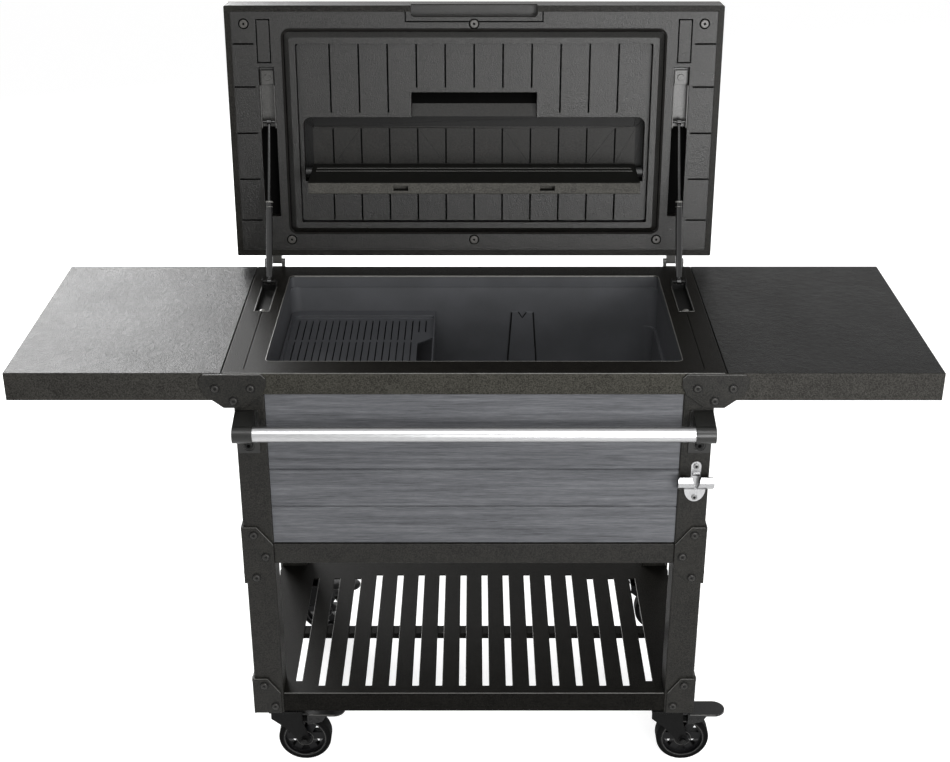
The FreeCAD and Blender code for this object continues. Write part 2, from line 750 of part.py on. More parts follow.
def tub_liner():
    shell = liner_shell(0.0).cut(tub_space())
    shell = joined([shell] + tray_rests() + [pilaster()])
    drain = rod_z(
        DRAIN_OUTER_RADIUS + RUNNING_FIT, TUB_FLOOR_Z - LINER_WALL - CUT_PAST, TUB_FLOOR_Z + CUT_PAST,
        DRAIN_X, DRAIN_Y,
    )
    return shell.cut(drain)


def tub_foam():
    bottom = BOX_FLOOR_Z + SHEET
    top = WORK_TOP_Z - RIM_DROP - LINER_WALL
    inset = RAIL_FLANGE + FOAM_EDGE_GAP
    block = box(-POST_OUT_X + inset, POST_OUT_X - inset, inset, BODY_DEPTH - inset, bottom, top)
    drain = rod_z(DRAIN_OUTER_RADIUS + RUNNING_FIT, bottom - CUT_PAST, top, DRAIN_X, DRAIN_Y)
    return without(block, post_blocks() + [liner_foam_room(), drain, deck_foot_room()])


def liner_foam_room():
    # The liner with a little air at its walls, but resting on the foam below.
    return liner_shell(FOAM_CLEARANCE).common(
        box(-DECK_HALF, DECK_HALF, 0, BODY_DEPTH, TUB_FLOOR_Z - LINER_WALL, WORK_TOP_Z)
    )


def deck_foot_room():
    # The return flange under the deck, which the foam stops short of.
    top = POST_TOP_Z + SHEET
    outside = box(-DECK_HALF, DECK_HALF, 0, BODY_DEPTH, POST_TOP_Z, top)
    return outside.cut(rim_hole(LINER_WALL + RIM_CLEARANCE, POST_TOP_Z - CUT_PAST, top + CUT_PAST))


def drain_outlet():
    tail_z = BOX_FLOOR_Z - DRAIN_TAIL
    top = TUB_FLOOR_Z + DRAIN_FLANGE
    tube = rod_z(DRAIN_OUTER_RADIUS, tail_z, TUB_FLOOR_Z, DRAIN_X, DRAIN_Y)
    flange = rod_z(DRAIN_FLANGE_RADIUS, TUB_FLOOR_Z, top, DRAIN_X, DRAIN_Y)
    bore = rod_z(DRAIN_BORE_RADIUS, tail_z - CUT_PAST, top + CUT_PAST, DRAIN_X, DRAIN_Y)
    return joined([tube, flange]).cut(bore)


def drain_cap():
    tail_z = BOX_FLOOR_Z - DRAIN_TAIL
    inner = DRAIN_OUTER_RADIUS + GAP
    base = tail_z - GAP - CAP_WALL
    cup = rod_z(inner + CAP_WALL, base, base + CAP_HEIGHT, DRAIN_X, DRAIN_Y)
    hollow = rod_z(inner, base + CAP_WALL, base + CAP_HEIGHT + CUT_PAST, DRAIN_X, DRAIN_Y)
    return cup.cut(hollow)


def tray_slots(left, right, rear):
    slots = []
    top = WORK_TOP_Z - TRAY_TOP_DROP
    low = WORK_TOP_Z - TRAY_PLATE_DROP - TRAY_PLATE - CUT_PAST
    first_x = left + 3 * TRAY_RIM
    hole_left = right - TRAY_RIM / 2 - TRAY_HOLE_WIDTH
    for index in range(TRAY_SLOT_COUNT):
        x0 = first_x + index * TRAY_SLOT_PITCH
        x1 = x0 + TRAY_SLOT_WIDTH
        near_hole = x1 > hole_left - TRAY_RIM
        if x1 > right - TRAY_RIM:
            break
        rear_end = TRAY_SHORT_ROW_END if near_hole else TRAY_REAR_ROW[1]
        slots.append(box(x0, x1, rear - rear_end, rear - TRAY_REAR_ROW[0], low, top))
        if not near_hole:
            slots.append(box(x0, x1, rear - TRAY_FRONT_ROW[1], rear - TRAY_FRONT_ROW[0], low, top))
    return slots


def tray_hole(right, rear):
    # The opening at the right front of the tray, its rear edge slanting back to the right.
    x1 = right - TRAY_RIM / 2
    x0 = x1 - TRAY_HOLE_WIDTH
    y0 = rear - TRAY_FRONT_ROW[1]
    y1 = rear - TRAY_HOLE_REAR
    z = WORK_TOP_Z - TRAY_PLATE_DROP - TRAY_PLATE - CUT_PAST
    outline = [(x0, y0), (x1, y0), (x1, y1), (x0, y1 - TRAY_HOLE_SLANT)]
    corners = [FreeCAD.Vector(x, y, z) for x, y in outline]
    face = Part.Face(Part.makePolygon(corners + corners[:1]))
    return face.extrude(FreeCAD.Vector(0, 0, TRAY_PLATE + 2 * CUT_PAST))


def tray_block(left, right, front, rear, z0, z1, radius):
    # A block whose left corners follow the tub and whose right corners are tight.
    block = box(left, right, front, rear, z0, z1)
    edges = upright_edges(block, z1 - z0)
    block = block.makeFillet(radius, [edge for edge in edges if edge.BoundBox.XMax < right - 1])
    edges = upright_edges(block, z1 - z0)
    corners = [edge for edge in edges if edge.BoundBox.XMin > right - EDGE_TOLERANCE]
    return block.makeFillet(TRAY_OUTER_CORNER / 2, corners)


def tray():
    left, right = tray_span()
    front = TUB_FRONT_Y + TRAY_CLEARANCE
    rear = TUB_REAR_Y - TRAY_CLEARANCE
    top = WORK_TOP_Z - TRAY_TOP_DROP
    plate_top = WORK_TOP_Z - TRAY_PLATE_DROP
    corner = TUB_CORNER_RADIUS
    body = tray_block(left, right, front, rear, LEDGE_Z + GAP, top, corner)
    above = tray_block(
        left + TRAY_RIM, right - TRAY_RIM / 2, front + TRAY_RIM, rear - TRAY_REAR_LIP,
        plate_top, top + CUT_PAST, corner - TRAY_RIM,
    )
    below = tray_block(
        left + TRAY_RIM / 2, right - TRAY_RIM / 2, front + TRAY_RIM / 2, rear - TRAY_RIM / 2,
        LEDGE_Z - CUT_PAST, plate_top - TRAY_PLATE, corner - TRAY_RIM / 2,
    )
    return without(body, [above, below, tray_hole(right, rear)] + tray_slots(left, right, rear))


# Side tables

def side_table():
    top = WORK_TOP_Z
    low = WORK_TOP_Z - TABLE_EDGE
    outside = bent_block(TABLE_INNER_X, TABLE_OUTER_X, 0, BODY_DEPTH, low, top)
    inside = box(
        TABLE_INNER_X + SHEET, TABLE_OUTER_X - SHEET, SHEET, BODY_DEPTH - SHEET,
        low + SHEET, top - SHEET,
    )
    mouth = box(
        TABLE_INNER_X + TABLE_LIP, TABLE_OUTER_X - TABLE_LIP, TABLE_LIP, BODY_DEPTH - TABLE_LIP,
        low - CUT_PAST, low + SHEET + CUT_PAST,
    )
    return outside.cut(inside).cut(mouth)


def table_beams():
    # Two stiffeners under each table top, from its inner wall to its outer wall.
    top = WORK_TOP_Z - SHEET
    beams = []
    for y0 in (BEAM_INSET, BODY_DEPTH - BEAM_INSET - BEAM_WIDTH):
        outside = box(
            TABLE_INNER_X + SHEET, TABLE_OUTER_X - SHEET, y0, y0 + BEAM_WIDTH, top - BEAM_HEIGHT, top,
        )
        inside = box(
            TABLE_INNER_X + SHEET - CUT_PAST, TABLE_OUTER_X - SHEET + CUT_PAST,
            y0 + SHEET, y0 + BEAM_WIDTH - SHEET,
            top - BEAM_HEIGHT + SHEET, top + CUT_PAST,
        )
        beam = outside.cut(inside)
        beams.extend([beam, mirrored(beam)])
    return Part.makeCompound(beams)


# Corner plates and bolts

def table_plate_outline():
    # Right plate under a side table as (x, drop below the table top).
    centre = (DECK_HALF + POST_OUT_X - POST_SIDE * 0.375) / 2
    half = TABLE_PLATE_HALF
    bevel = 8.0
    return centre, [
        (centre - half + bevel, TABLE_PLATE_TOP), (centre + half - bevel, TABLE_PLATE_TOP),
        (centre + half, TABLE_PLATE_TOP + bevel), (centre + half, TABLE_PLATE_SHOULDER),
        (centre + half - bevel, TABLE_PLATE_WAIST), (centre + TABLE_PLATE_TIP_HALF, TABLE_PLATE_DROP),
        (centre - TABLE_PLATE_TIP_HALF, TABLE_PLATE_DROP), (centre - half + bevel, TABLE_PLATE_WAIST),
        (centre - half, TABLE_PLATE_SHOULDER), (centre - half, TABLE_PLATE_TOP + bevel),
    ]


def mid_plate_outline():
    # Plate where the lower rail meets the post, as (distance in from the outer face, z).
    top = BOX_RAIL_TOP_Z + MID_PLATE_RISE
    low = BOX_RAIL_TOP_Z - MID_PLATE_DROP
    reach = MID_PLATE_REACH
    edge = MID_PLATE_EDGE
    return [
        (0.0, top), (edge, top), (reach, top - MID_PLATE_SLOPE),
        (reach, low + MID_PLATE_LOW_SLOPE), (edge, low), (0.0, low),
    ]


def foot_plate_outline():
    top = SHELF_TOP_Z + FOOT_PLATE_RISE
    low = POST_BOTTOM_Z + GAP
    reach = FOOT_PLATE_REACH
    return [
        (0.0, top), (FOOT_PLATE_EDGE, top), (reach, top - FOOT_PLATE_SLOPE), (reach, low), (0.0, low),
    ]


def plate_front(outline):
    # A flat plate on the front of the frame, its outer edges a little rounded.
    plate = prism_y(outline, -PLATE_THICKNESS, 0)
    rim = [
        edge for edge in plate.Edges
        if edge.BoundBox.YMax < EDGE_TOLERANCE - PLATE_THICKNESS
        and edge.BoundBox.XMin < POST_OUT_X - EDGE_TOLERANCE
    ]
    return plate.makeFillet(PLATE_EDGE_RADIUS, rim)


def corner_wings(outline):
    # A bent plate: one wing across the front of the post and one down its side.
    front = plate_front([(POST_OUT_X - reach, z) for reach, z in outline])
    side = prism_x([(reach, z) for reach, z in outline], POST_OUT_X, POST_OUT_X + PLATE_THICKNESS)
    lows = min(z for reach, z in outline)
    tops = max(z for reach, z in outline)
    edge = box(
        POST_OUT_X, POST_OUT_X + PLATE_THICKNESS, -PLATE_THICKNESS, 0, lows, tops,
    )
    return joined([front, side, edge])


def four_corners(shape):
    rear = front_to_rear(shape)
    return [shape, mirrored(shape), rear, mirrored(rear)]


def corner_plates():
    table = plate_front([(x, WORK_TOP_Z - drop) for x, drop in table_plate_outline()[1]])
    plates = [table, mirrored(table)]
    plates += four_corners(corner_wings(mid_plate_outline()))
    plates += four_corners(corner_wings(foot_plate_outline()))
    return Part.makeCompound(plates)


def bolt_head(x, z):
    # Round head standing on a front plate.
    face = -PLATE_THICKNESS
    return screw_head(BOLT_HEAD_RADIUS, BOLT_HEAD_HEIGHT, x, face, z)


def screw_head(radius, height, x, face, z):
    # A round head with a socket, standing forward of a face.
    head = rod_y(radius, face - height, face, x, z)
    rim = [edge for edge in head.Edges if abs(edge.BoundBox.YMax - (face - height)) < EDGE_TOLERANCE]
    head = head.makeFillet(height * 0.6, rim)
    return head.cut(rod_y(radius * 0.4, face - height - CUT_PAST, face - height * 0.4, x, z))


def side_bolt_head(y, z):
    face = POST_OUT_X + PLATE_THICKNESS
    tip = face + BOLT_HEAD_HEIGHT
    head = rod_x(BOLT_HEAD_RADIUS, face, tip, y, z)
    rim = [edge for edge in head.Edges if abs(edge.BoundBox.XMin - tip) < EDGE_TOLERANCE]
    head = head.makeFillet(BOLT_HEAD_HEIGHT * 0.6, rim)
    return head.cut(rod_x(BOLT_HEAD_RADIUS * 0.4, tip - BOLT_SOCKET_DEPTH, tip + CUT_PAST, y, z))


def corner_bolts():
    centre = table_plate_outline()[0]
    bolts = []
    for across, drop in TABLE_BOLTS:
        head = bolt_head(centre + across, WORK_TOP_Z - drop)
        bolts.extend([head, mirrored(head)])
    for points, level in ((MID_BOLTS, BOX_RAIL_TOP_Z), (FOOT_BOLTS, SHELF_TOP_Z)):
        for reach, rise in points:
            bolts += four_corners(bolt_head(POST_OUT_X - reach, level + rise))
            bolts += four_corners(side_bolt_head(reach, level + rise))
    return Part.makeCompound(bolts)


# Handle bar and bottle opener

def handle_tube():
    half = HANDLE_HALF_LENGTH + HANDLE_CAP_LENGTH / 2
    end = half + CUT_PAST
    bar = rod_x(HANDLE_RADIUS, -half, half, -HANDLE_STAND_OFF, HANDLE_Z)
    bore = rod_x(HANDLE_RADIUS - SHEET, -end, end, -HANDLE_STAND_OFF, HANDLE_Z)
    return bar.cut(bore)


def handle_bracket():
    x0 = HANDLE_HALF_LENGTH
    x1 = HANDLE_HALF_LENGTH + HANDLE_CAP_LENGTH
    outer = HANDLE_RADIUS + HANDLE_CAP_WALL
    y = -HANDLE_STAND_OFF
    cup = rod_x(outer, x0, x1, y, HANDLE_Z)
    plate_x0 = x0 - HANDLE_PLATE_EXTRA
    top_z = HANDLE_Z + HANDLE_PLATE_RISE
    low_z = HANDLE_Z - outer
    centre_x, screw_z = handle_screw_place()
    plate = box(plate_x0, x1, -HANDLE_PLATE, 0, screw_z - HANDLE_FOOT_DROP, top_z)
    dish_y = HANDLE_DISH_DEPTH - HANDLE_PLATE
    dish = rod_y(HANDLE_DISH_RADIUS, -HANDLE_PLATE - CUT_PAST, dish_y, centre_x, screw_z)
    arm = prism_x(
        [(0, top_z), (-HANDLE_ARM_TOP, top_z), (y, HANDLE_Z + outer), (y, low_z),
         (-HANDLE_PLATE - HANDLE_ARM_FOOT, low_z), (-HANDLE_PLATE, low_z - HANDLE_ARM_FOOT),
         (0, low_z - HANDLE_ARM_FOOT)],
        x0 + HANDLE_ARM_INSET, x1,
    )
    bore = rod_x(HANDLE_RADIUS + RUNNING_FIT, x0 - CUT_PAST, x1 - HANDLE_CAP_WALL, y, HANDLE_Z)
    return without(joined([cup, plate, arm]), [bore, dish])


def handle_brackets():
    return both_sides(handle_bracket())


def handle_screw_place():
    centre_x = HANDLE_HALF_LENGTH + (HANDLE_CAP_LENGTH - HANDLE_PLATE_EXTRA) / 2
    return centre_x, HANDLE_Z - HANDLE_SCREW_DROP


def handle_screws():
    x, z = handle_screw_place()
    face = HANDLE_DISH_DEPTH - HANDLE_PLATE
    return both_sides(screw_head(HANDLE_SCREW_RADIUS, HANDLE_SCREW_HEIGHT, x, face, z))


def opener_shield(x, z, low):
    # Half an ellipse, hanging from the given height.
    steps = 16
    half = OPENER_SHIELD_HALF
    outline = [(x - half, z + OPENER_THICKNESS), (x + half, z + OPENER_THICKNESS)]
    for step in range(steps + 1):
        angle = math.pi * step / steps
        outline.append((x + half * math.cos(angle), z - (z - low) * math.sin(angle)))
    return prism_y(outline, -OPENER_THICKNESS, 0)


def opener_hood(x, low, high):
    # A curved bar standing off the post, with round ends and a tapered notch in its middle.
    lip = OPENER_LIP
    back = -OPENER_THICKNESS
    reach = -OPENER_REACH
    bulge = (high - low) / 3
    profile = [
        (back, low), (back, low + 2 * lip), (reach + 2 * lip, low + bulge), (reach + lip, high - bulge),
        (reach + 2 * lip, high), (reach + lip, high), (reach, high - bulge), (reach + lip, low + bulge),
        (2 * back, low),
    ]
    half = OPENER_BAR_HALF_WIDTH
    hood = prism_x(profile, x - half, x + half)
    block = box(x - half, x + half, reach - CUT_PAST, 0, low, high)
    corners = [edge for edge in block.Edges if edge.BoundBox.YLength > OPENER_REACH]
    hood = hood.common(block.makeFillet(OPENER_CORNER_RADIUS, corners))
    notch = prism_y(
        [(x - OPENER_NOTCH_TOP_HALF, high + CUT_PAST), (x + OPENER_NOTCH_TOP_HALF, high + CUT_PAST),
         (x + OPENER_NOTCH_FOOT_HALF, low + 2 * lip), (x - OPENER_NOTCH_FOOT_HALF, low + 2 * lip)],
        reach - CUT_PAST, back,
    )
    return hood.cut(notch)


def bottle_opener():
    # A tab and a rounded shield on the post, with a curved hood across that catches the cap.
    top = WORK_TOP_Z - OPENER_DROP
    low = top - OPENER_HEIGHT
    x = OPENER_X
    back = -OPENER_THICKNESS
    shield_z = low + OPENER_HEIGHT * 0.32
    hood_z = top - OPENER_HEIGHT * 0.31
    tab = rod_y(OPENER_TAB_RADIUS, back, 0, x, top - OPENER_TAB_RADIUS)
    neck = box(
        x - OPENER_TAB_RADIUS, x + OPENER_TAB_RADIUS, back, 0, shield_z, top - OPENER_TAB_RADIUS,
    )
    tooth = prism_x(
        [(back, hood_z - OPENER_TOOTH_HALF), (back, hood_z + OPENER_TOOTH_HALF),
         (-OPENER_TOOTH_REACH, hood_z + OPENER_TOOTH_RISE),
         (-OPENER_TOOTH_REACH, hood_z + OPENER_TOOTH_RISE - OPENER_TOOTH_TIP)],
        x - OPENER_TAB_RADIUS * 0.7, x + OPENER_TAB_RADIUS * 0.7,
    )
    return joined([tab, neck, opener_shield(x, shield_z, low), opener_hood(x, shield_z, hood_z), tooth])


def opener_screw(drop):
    z = WORK_TOP_Z - OPENER_DROP - drop
    return screw_head(OPENER_SCREW_RADIUS, OPENER_SCREW_HEIGHT, OPENER_X, -OPENER_THICKNESS, z)


def opener_screws():
    upper = opener_screw(OPENER_TAB_RADIUS)
    lower = opener_screw(OPENER_HEIGHT - OPENER_LOWER_SCREW)
    return Part.makeCompound([upper, lower])


# Casters, drawn with the swivel axis at x = 0, y = 0 and the wheel trailing towards +x

def caster_mount(x, y):
    low = PLATE_UNDERSIDE_Z
    plate = box(
        x - MOUNT_HALF_X, x + MOUNT_HALF_X, y - MOUNT_HALF_Y, y + MOUNT_HALF_Y, low, POST_BOTTOM_Z,
    )
    stem = rod_z(STEM_RADIUS, low - STEM_LENGTH, low, x, y)
    return joined([plate, stem])


def caster_mounts():
    return Part.makeCompound([
        caster_mount(x, y) for x in (-SWIVEL_X, SWIVEL_X) for y in SWIVEL_YS
    ])


def caster_fork():
    top = PLATE_UNDERSIDE_Z - GAP
    crown_top = top - RACE_HEIGHT + RACE_OVERLAP
    inside = WHEEL_WIDTH / 2 + CHEEK_CLEARANCE
    outside = inside + CHEEK
    nose = RACE_RADIUS - RACE_OVERLAP
    race = rod_z(RACE_RADIUS, top - RACE_HEIGHT, top, 0, 0)
    crown = box(-nose, nose - 2 * RACE_OVERLAP, -outside, outside, crown_top - RACE_HEIGHT, crown_top)
    shoulder = PEDAL_PIN_X + PEDAL_PIN_MARGIN
    axle_z = WHEEL_RADIUS
    boss = NUT_RADIUS + FORK_BOSS
    outline = [
        (-nose, crown_top), (shoulder, crown_top), (shoulder, axle_z + FORK_SHOULDER_RISE),
        (shoulder + FORK_STEP, axle_z + FORK_STEP_RISE),
        (CASTER_TRAIL + boss, axle_z - FORK_FOOT_DROP), (CASTER_TRAIL, axle_z - boss - FORK_TOE),
        (CASTER_TRAIL - boss, axle_z - FORK_FOOT_DROP), (FORK_BACK_X, axle_z + FORK_BACK_LOW_RISE),
        (-nose, axle_z + FORK_BACK_TOP_RISE),
    ]
    cheeks = [prism_y(outline, y0, y0 + CHEEK) for y0 in (-outside, inside)]
    end = outside + NUT_HEIGHT
    axle = rod_y(AXLE_RADIUS, -end, end, CASTER_TRAIL, axle_z)
    nuts = [rod_y(NUT_RADIUS, y0, y0 + NUT_HEIGHT, CASTER_TRAIL, axle_z) for y0 in (-end, outside)]
    pin = rod_y(PEDAL_PIN_RADIUS, -outside, outside, PEDAL_PIN_X, PEDAL_PIN_Z)
    fork = joined([race, crown] + cheeks + [axle, pin] + nuts)
    stem_room = rod_z(STEM_RADIUS + RUNNING_FIT, top - STEM_LENGTH - CUT_PAST, top + CUT_PAST, 0, 0)
    return fork.cut(stem_room)


def caster_wheel():
    half = WHEEL_WIDTH / 2
    end = half + CUT_PAST
    x = CASTER_TRAIL
    z = WHEEL_RADIUS
    rim_radius = WHEEL_RADIUS - TYRE_THICKNESS
    rim = rod_y(rim_radius, -half, half, x, z)
    for y0, y1 in ((-end, -half / 2), (half / 2, end)):
        hub = rod_y(HUB_RADIUS, y0, y1, x, z)
        rim = rim.cut(rod_y(rim_radius - RIM_LIP, y0, y1, x, z).cut(hub))
    holes = []
    step = 2 * math.pi / SPOKES
    for index in range(SPOKES):
        start = step * (index + SPOKE_SHARE / 2)
        middle = step * (index + 0.5)
        finish = step * (index + 1 - SPOKE_SHARE / 2)
        outer = rim_radius - 2 * RIM_LIP
        inner = HUB_RADIUS + RIM_LIP
        points = ((outer, start), (outer, finish), (inner, middle))
        outline = [(x + r * math.cos(angle), z + r * math.sin(angle)) for r, angle in points]
        holes.append(prism_y(outline, -end, end))
    bore = rod_y(AXLE_RADIUS + RUNNING_FIT, -end, end, x, z)
    return without(rim, holes + [bore])


def caster_tyre():
    half = WHEEL_WIDTH / 2
    end = half + CUT_PAST
    tyre = rod_y(WHEEL_RADIUS, -half, half, CASTER_TRAIL, WHEEL_RADIUS)
    rims = [edge for edge in tyre.Edges if edge.BoundBox.YLength < EDGE_TOLERANCE]
    tyre = tyre.makeFillet(TYRE_SHOULDER, rims)
    return tyre.cut(rod_y(WHEEL_RADIUS - TYRE_THICKNESS, -end, end, CASTER_TRAIL, WHEEL_RADIUS))


def caster_pedal():
    top = PEDAL_PIN_Z + PEDAL_THICKNESS / 2
    low = top - PEDAL_THICKNESS
    narrow = WHEEL_WIDTH / 2 + CHEEK_CLEARANCE - 2 * GAP
    wide = PEDAL_WIDTH / 2
    plate_x = PEDAL_TONGUE_END - PEDAL_OVERLAP
    tip_x = PEDAL_LENGTH - wide
    tongue = box(PEDAL_PIN_X, PEDAL_TONGUE_END, -narrow, narrow, low, top)
    plate = box(plate_x, tip_x, -wide, wide, low, top)
    tip = rod_z(wide, low, top, tip_x, 0)
    barrel = rod_y(PEDAL_PIN_RADIUS + PEDAL_BARREL_WALL, -narrow, narrow, PEDAL_PIN_X, PEDAL_PIN_Z)
    skirt_outline = [
        (plate_x, low + CUT_PAST), (PEDAL_SKIRT_TOP_X, low + CUT_PAST),
        (PEDAL_SKIRT_LOW_X, low - PEDAL_SKIRT_FRONT_DROP), (plate_x, low - PEDAL_SKIRT_BACK_DROP),
    ]
    skirts = [prism_y(skirt_outline, y0, y0 + PEDAL_SKIRT) for y0 in (-wide, wide - PEDAL_SKIRT)]
    rivets = []
    for x in PEDAL_RIVETS:
        for y0 in (-wide - PEDAL_RIVET_HEIGHT, wide):
            rivets.append(rod_y(PEDAL_RIVET_RADIUS, y0, y0 + PEDAL_RIVET_HEIGHT, x, low - PEDAL_RIVET_DROP))
    rib = box(plate_x, tip_x, -PEDAL_RIB_HALF, PEDAL_RIB_HALF, low - PEDAL_SKIRT, low)
    reach = wide + CUT_PAST
    pin_bore = rod_y(PEDAL_PIN_RADIUS + RUNNING_FIT, -reach, reach, PEDAL_PIN_X, PEDAL_PIN_Z)
    return joined([tongue, plate, tip, barrel, rib] + skirts + rivets).cut(pin_bore)


# Lid: d is the distance forward from its rear edge, depth the distance in from its underside

def lid_box(x0, x1, d0, d1, depth0, depth1):
    return box(x0, x1, LID_REAR_Y - d1, LID_REAR_Y - d0, LID_FACE_Z + depth0, LID_FACE_Z + depth1)


def lid_point(d, depth):
    return LID_REAR_Y - d, LID_FACE_Z + depth


def opened(shape):
    return turned_about_x(shape, -LID_OPEN_ANGLE, HINGE_Y, HINGE_Z)


def opened_point(y, z):
    angle = math.radians(-LID_OPEN_ANGLE)
    dy = y - HINGE_Y
    dz = z - HINGE_Z
    return (
        HINGE_Y + dy * math.cos(angle) - dz * math.sin(angle),
        HINGE_Z + dy * math.sin(angle) + dz * math.cos(angle),
    )


def lid_pocket(half, d0, d1, depth0, depth1, radius):
    # A pocket whose two corners at its front end are round.
    block = lid_box(-half, half, d0, d1, depth0, depth1)
    front = [
        edge for edge in upright_edges(block, depth1 - depth0)
        if edge.BoundBox.YMax < LID_REAR_Y - d1 + EDGE_TOLERANCE
    ]
    return block.makeFillet(radius, front)


def grip_space():
    # The hand notch in the front edge of the lid, with round inner corners.
    block = lid_box(
        -GRIP_HALF_WIDTH, GRIP_HALF_WIDTH, LID_DEPTH - GRIP_LENGTH, LID_DEPTH + CUT_PAST,
        -CUT_PAST, GRIP_DEPTH,
    )
    inner = [
        edge for edge in upright_edges(block, GRIP_DEPTH + CUT_PAST)
        if edge.BoundBox.YMin > LID_REAR_Y - LID_DEPTH + GRIP_LENGTH - EDGE_TOLERANCE
    ]
    return block.makeFillet(GRIP_CORNER_RADIUS, inner)


def lid_shell():
    skin = LID_SKIN
    block = lid_box(-LID_HALF, LID_HALF, 0, LID_DEPTH, 0, LID_THICKNESS)
    back_z = LID_FACE_Z + LID_THICKNESS - EDGE_TOLERANCE
    outer_edges = [
        edge for edge in block.Edges if edge.BoundBox.ZMin > back_z or edge.BoundBox.ZLength > 1
    ]
    block = block.makeFillet(LID_CORNER_RADIUS, outer_edges)
    hollow = lid_box(
        -LID_HALF + skin, LID_HALF - skin, skin, LID_DEPTH - skin, PANEL_DEPTH, LID_THICKNESS - skin,
    )
    mouth = lid_box(
        -LID_HALF + LID_LIP, LID_HALF - LID_LIP, LID_LIP, LID_DEPTH - LID_LIP,
        -CUT_PAST, PANEL_DEPTH + CUT_PAST,
    )
    return without(block, [hollow, mouth, grip_space()])


def pocket_blocks():
    # Solid outsides of the pockets that stand behind the inner panel.
    wall = POCKET_WALL
    top = PANEL_DEPTH + LID_PANEL
    recess = lid_box(
        -RECESS_HALF_WIDTH - wall, RECESS_HALF_WIDTH + wall, RECESS_REAR_D - wall,
        RECESS_FRONT_D + wall, top - CUT_PAST, PANEL_DEPTH + RECESS_DEPTH + wall,
    )
    notch = lid_box(
        -NOTCH_HALF_WIDTH - wall, NOTCH_HALF_WIDTH + wall, RECESS_FRONT_D,
        RECESS_FRONT_D + NOTCH_HEIGHT + wall, top - CUT_PAST, PANEL_DEPTH + NOTCH_DEPTH + wall,
    )
    grip = lid_box(
        -GRIP_HALF_WIDTH - wall, GRIP_HALF_WIDTH + wall, LID_DEPTH - GRIP_LENGTH - wall,
        LID_DEPTH - LID_SKIN, top - CUT_PAST, GRIP_DEPTH + wall,
    )
    half = STRUT_POCKET_WIDTH / 2
    strut = lid_box(
        STRUT_X - half - wall, STRUT_X + half + wall, strut_pocket_span()[0] - wall,
        strut_pocket_span()[1] + wall, top - CUT_PAST, PANEL_DEPTH + STRUT_POCKET_DEPTH + wall,
    )
    return [recess, notch, grip, strut, mirrored(strut)]


def strut_pocket_span():
    rear = LID_REAR_Y - (STRUT_LOWER_Y + LOWER_CHANNEL_DEPTH) - 2 * UPPER_CHANNEL_MARGIN
    front = STRUT_UPPER_D + UPPER_CHANNEL_FRONT + UPPER_CHANNEL_MARGIN
    return rear, front


def pocket_spaces():
    recess = lid_pocket(
        RECESS_HALF_WIDTH, RECESS_REAR_D, RECESS_FRONT_D,
        -CUT_PAST, PANEL_DEPTH + RECESS_DEPTH, RECESS_CORNER_RADIUS,
    )
    half = STRUT_POCKET_WIDTH / 2
    rear, front = strut_pocket_span()
    strut = lid_box(
        STRUT_X - half, STRUT_X + half, rear, front, -CUT_PAST, PANEL_DEPTH + STRUT_POCKET_DEPTH,
    )
    return [recess, finger_notch_space(), strut, mirrored(strut), grip_space()]


def finger_notch_space():
    # Deep along its upper half, then sloping out towards the shelf recess.
    start_d = RECESS_FRONT_D - CUT_PAST
    end_d = RECESS_FRONT_D + NOTCH_HEIGHT
    middle_d = RECESS_FRONT_D + NOTCH_HEIGHT * NOTCH_SLOPE_START
    full = PANEL_DEPTH + NOTCH_DEPTH
    outline = [
        lid_point(start_d, -CUT_PAST), lid_point(end_d, -CUT_PAST), lid_point(end_d, full),
        lid_point(middle_d, full), lid_point(start_d, full * NOTCH_SLOPE_DEPTH),
    ]
    return prism_x(outline, -NOTCH_HALF_WIDTH, NOTCH_HALF_WIDTH)


def recess_pad():
    # A low raised pad on the floor of the recess, grooved in line with the panel above it.
    floor = PANEL_DEPTH + RECESS_DEPTH
    face = floor - PAD_PROUD
    pad = lid_pocket(FLAP_HALF_WIDTH, PAD_REAR_D, PAD_FRONT_D, face, floor + CUT_PAST, PAD_CORNER_RADIUS)
    half = GROOVE_WIDTH / 2
    tools = []
    for index in range(-GROOVES_EACH_SIDE, GROOVES_EACH_SIDE + 1):
        x = index * GROOVE_PITCH
        tools.append(lid_box(
            x - half, x + half, PAD_REAR_D + PAD_CORNER_RADIUS, PAD_FRONT_D - PAD_CORNER_RADIUS,
            face - CUT_PAST, face + PAD_GROOVE_DEPTH,
        ))
    return without(pad, tools)


def bead_frame():
    # A raised frame with a sloping outer side, standing down into the tub when the lid is closed.
    def outline(inset, depth, radius):
        half = BEAD_HALF_WIDTH - inset
        y0, z = lid_point(BEAD_FRONT_D - inset, depth)
        y1 = lid_point(BEAD_REAR_D + inset, depth)[0]
        return rounded_outline(-half, half, y0, y1, z, radius)

    foot = outline(0.0, PANEL_DEPTH, BEAD_CORNER_RADIUS)
    crest = outline(BEAD_SLOPE, -BEAD_HEIGHT, BEAD_TOP_RADIUS)
    solid = Part.makeLoft([foot, crest], True)
    y0, z0 = lid_point(BEAD_FRONT_D - BEAD_SLOPE - BEAD_BAND, -BEAD_HEIGHT - CUT_PAST)
    y1, z1 = lid_point(BEAD_REAR_D + BEAD_SLOPE + BEAD_BAND, PANEL_DEPTH)
    opening = rounded_box(-PANEL_HALF, PANEL_HALF, y0, y1, z0, z1, BEAD_INNER_RADIUS)
    return solid.cut(opening)


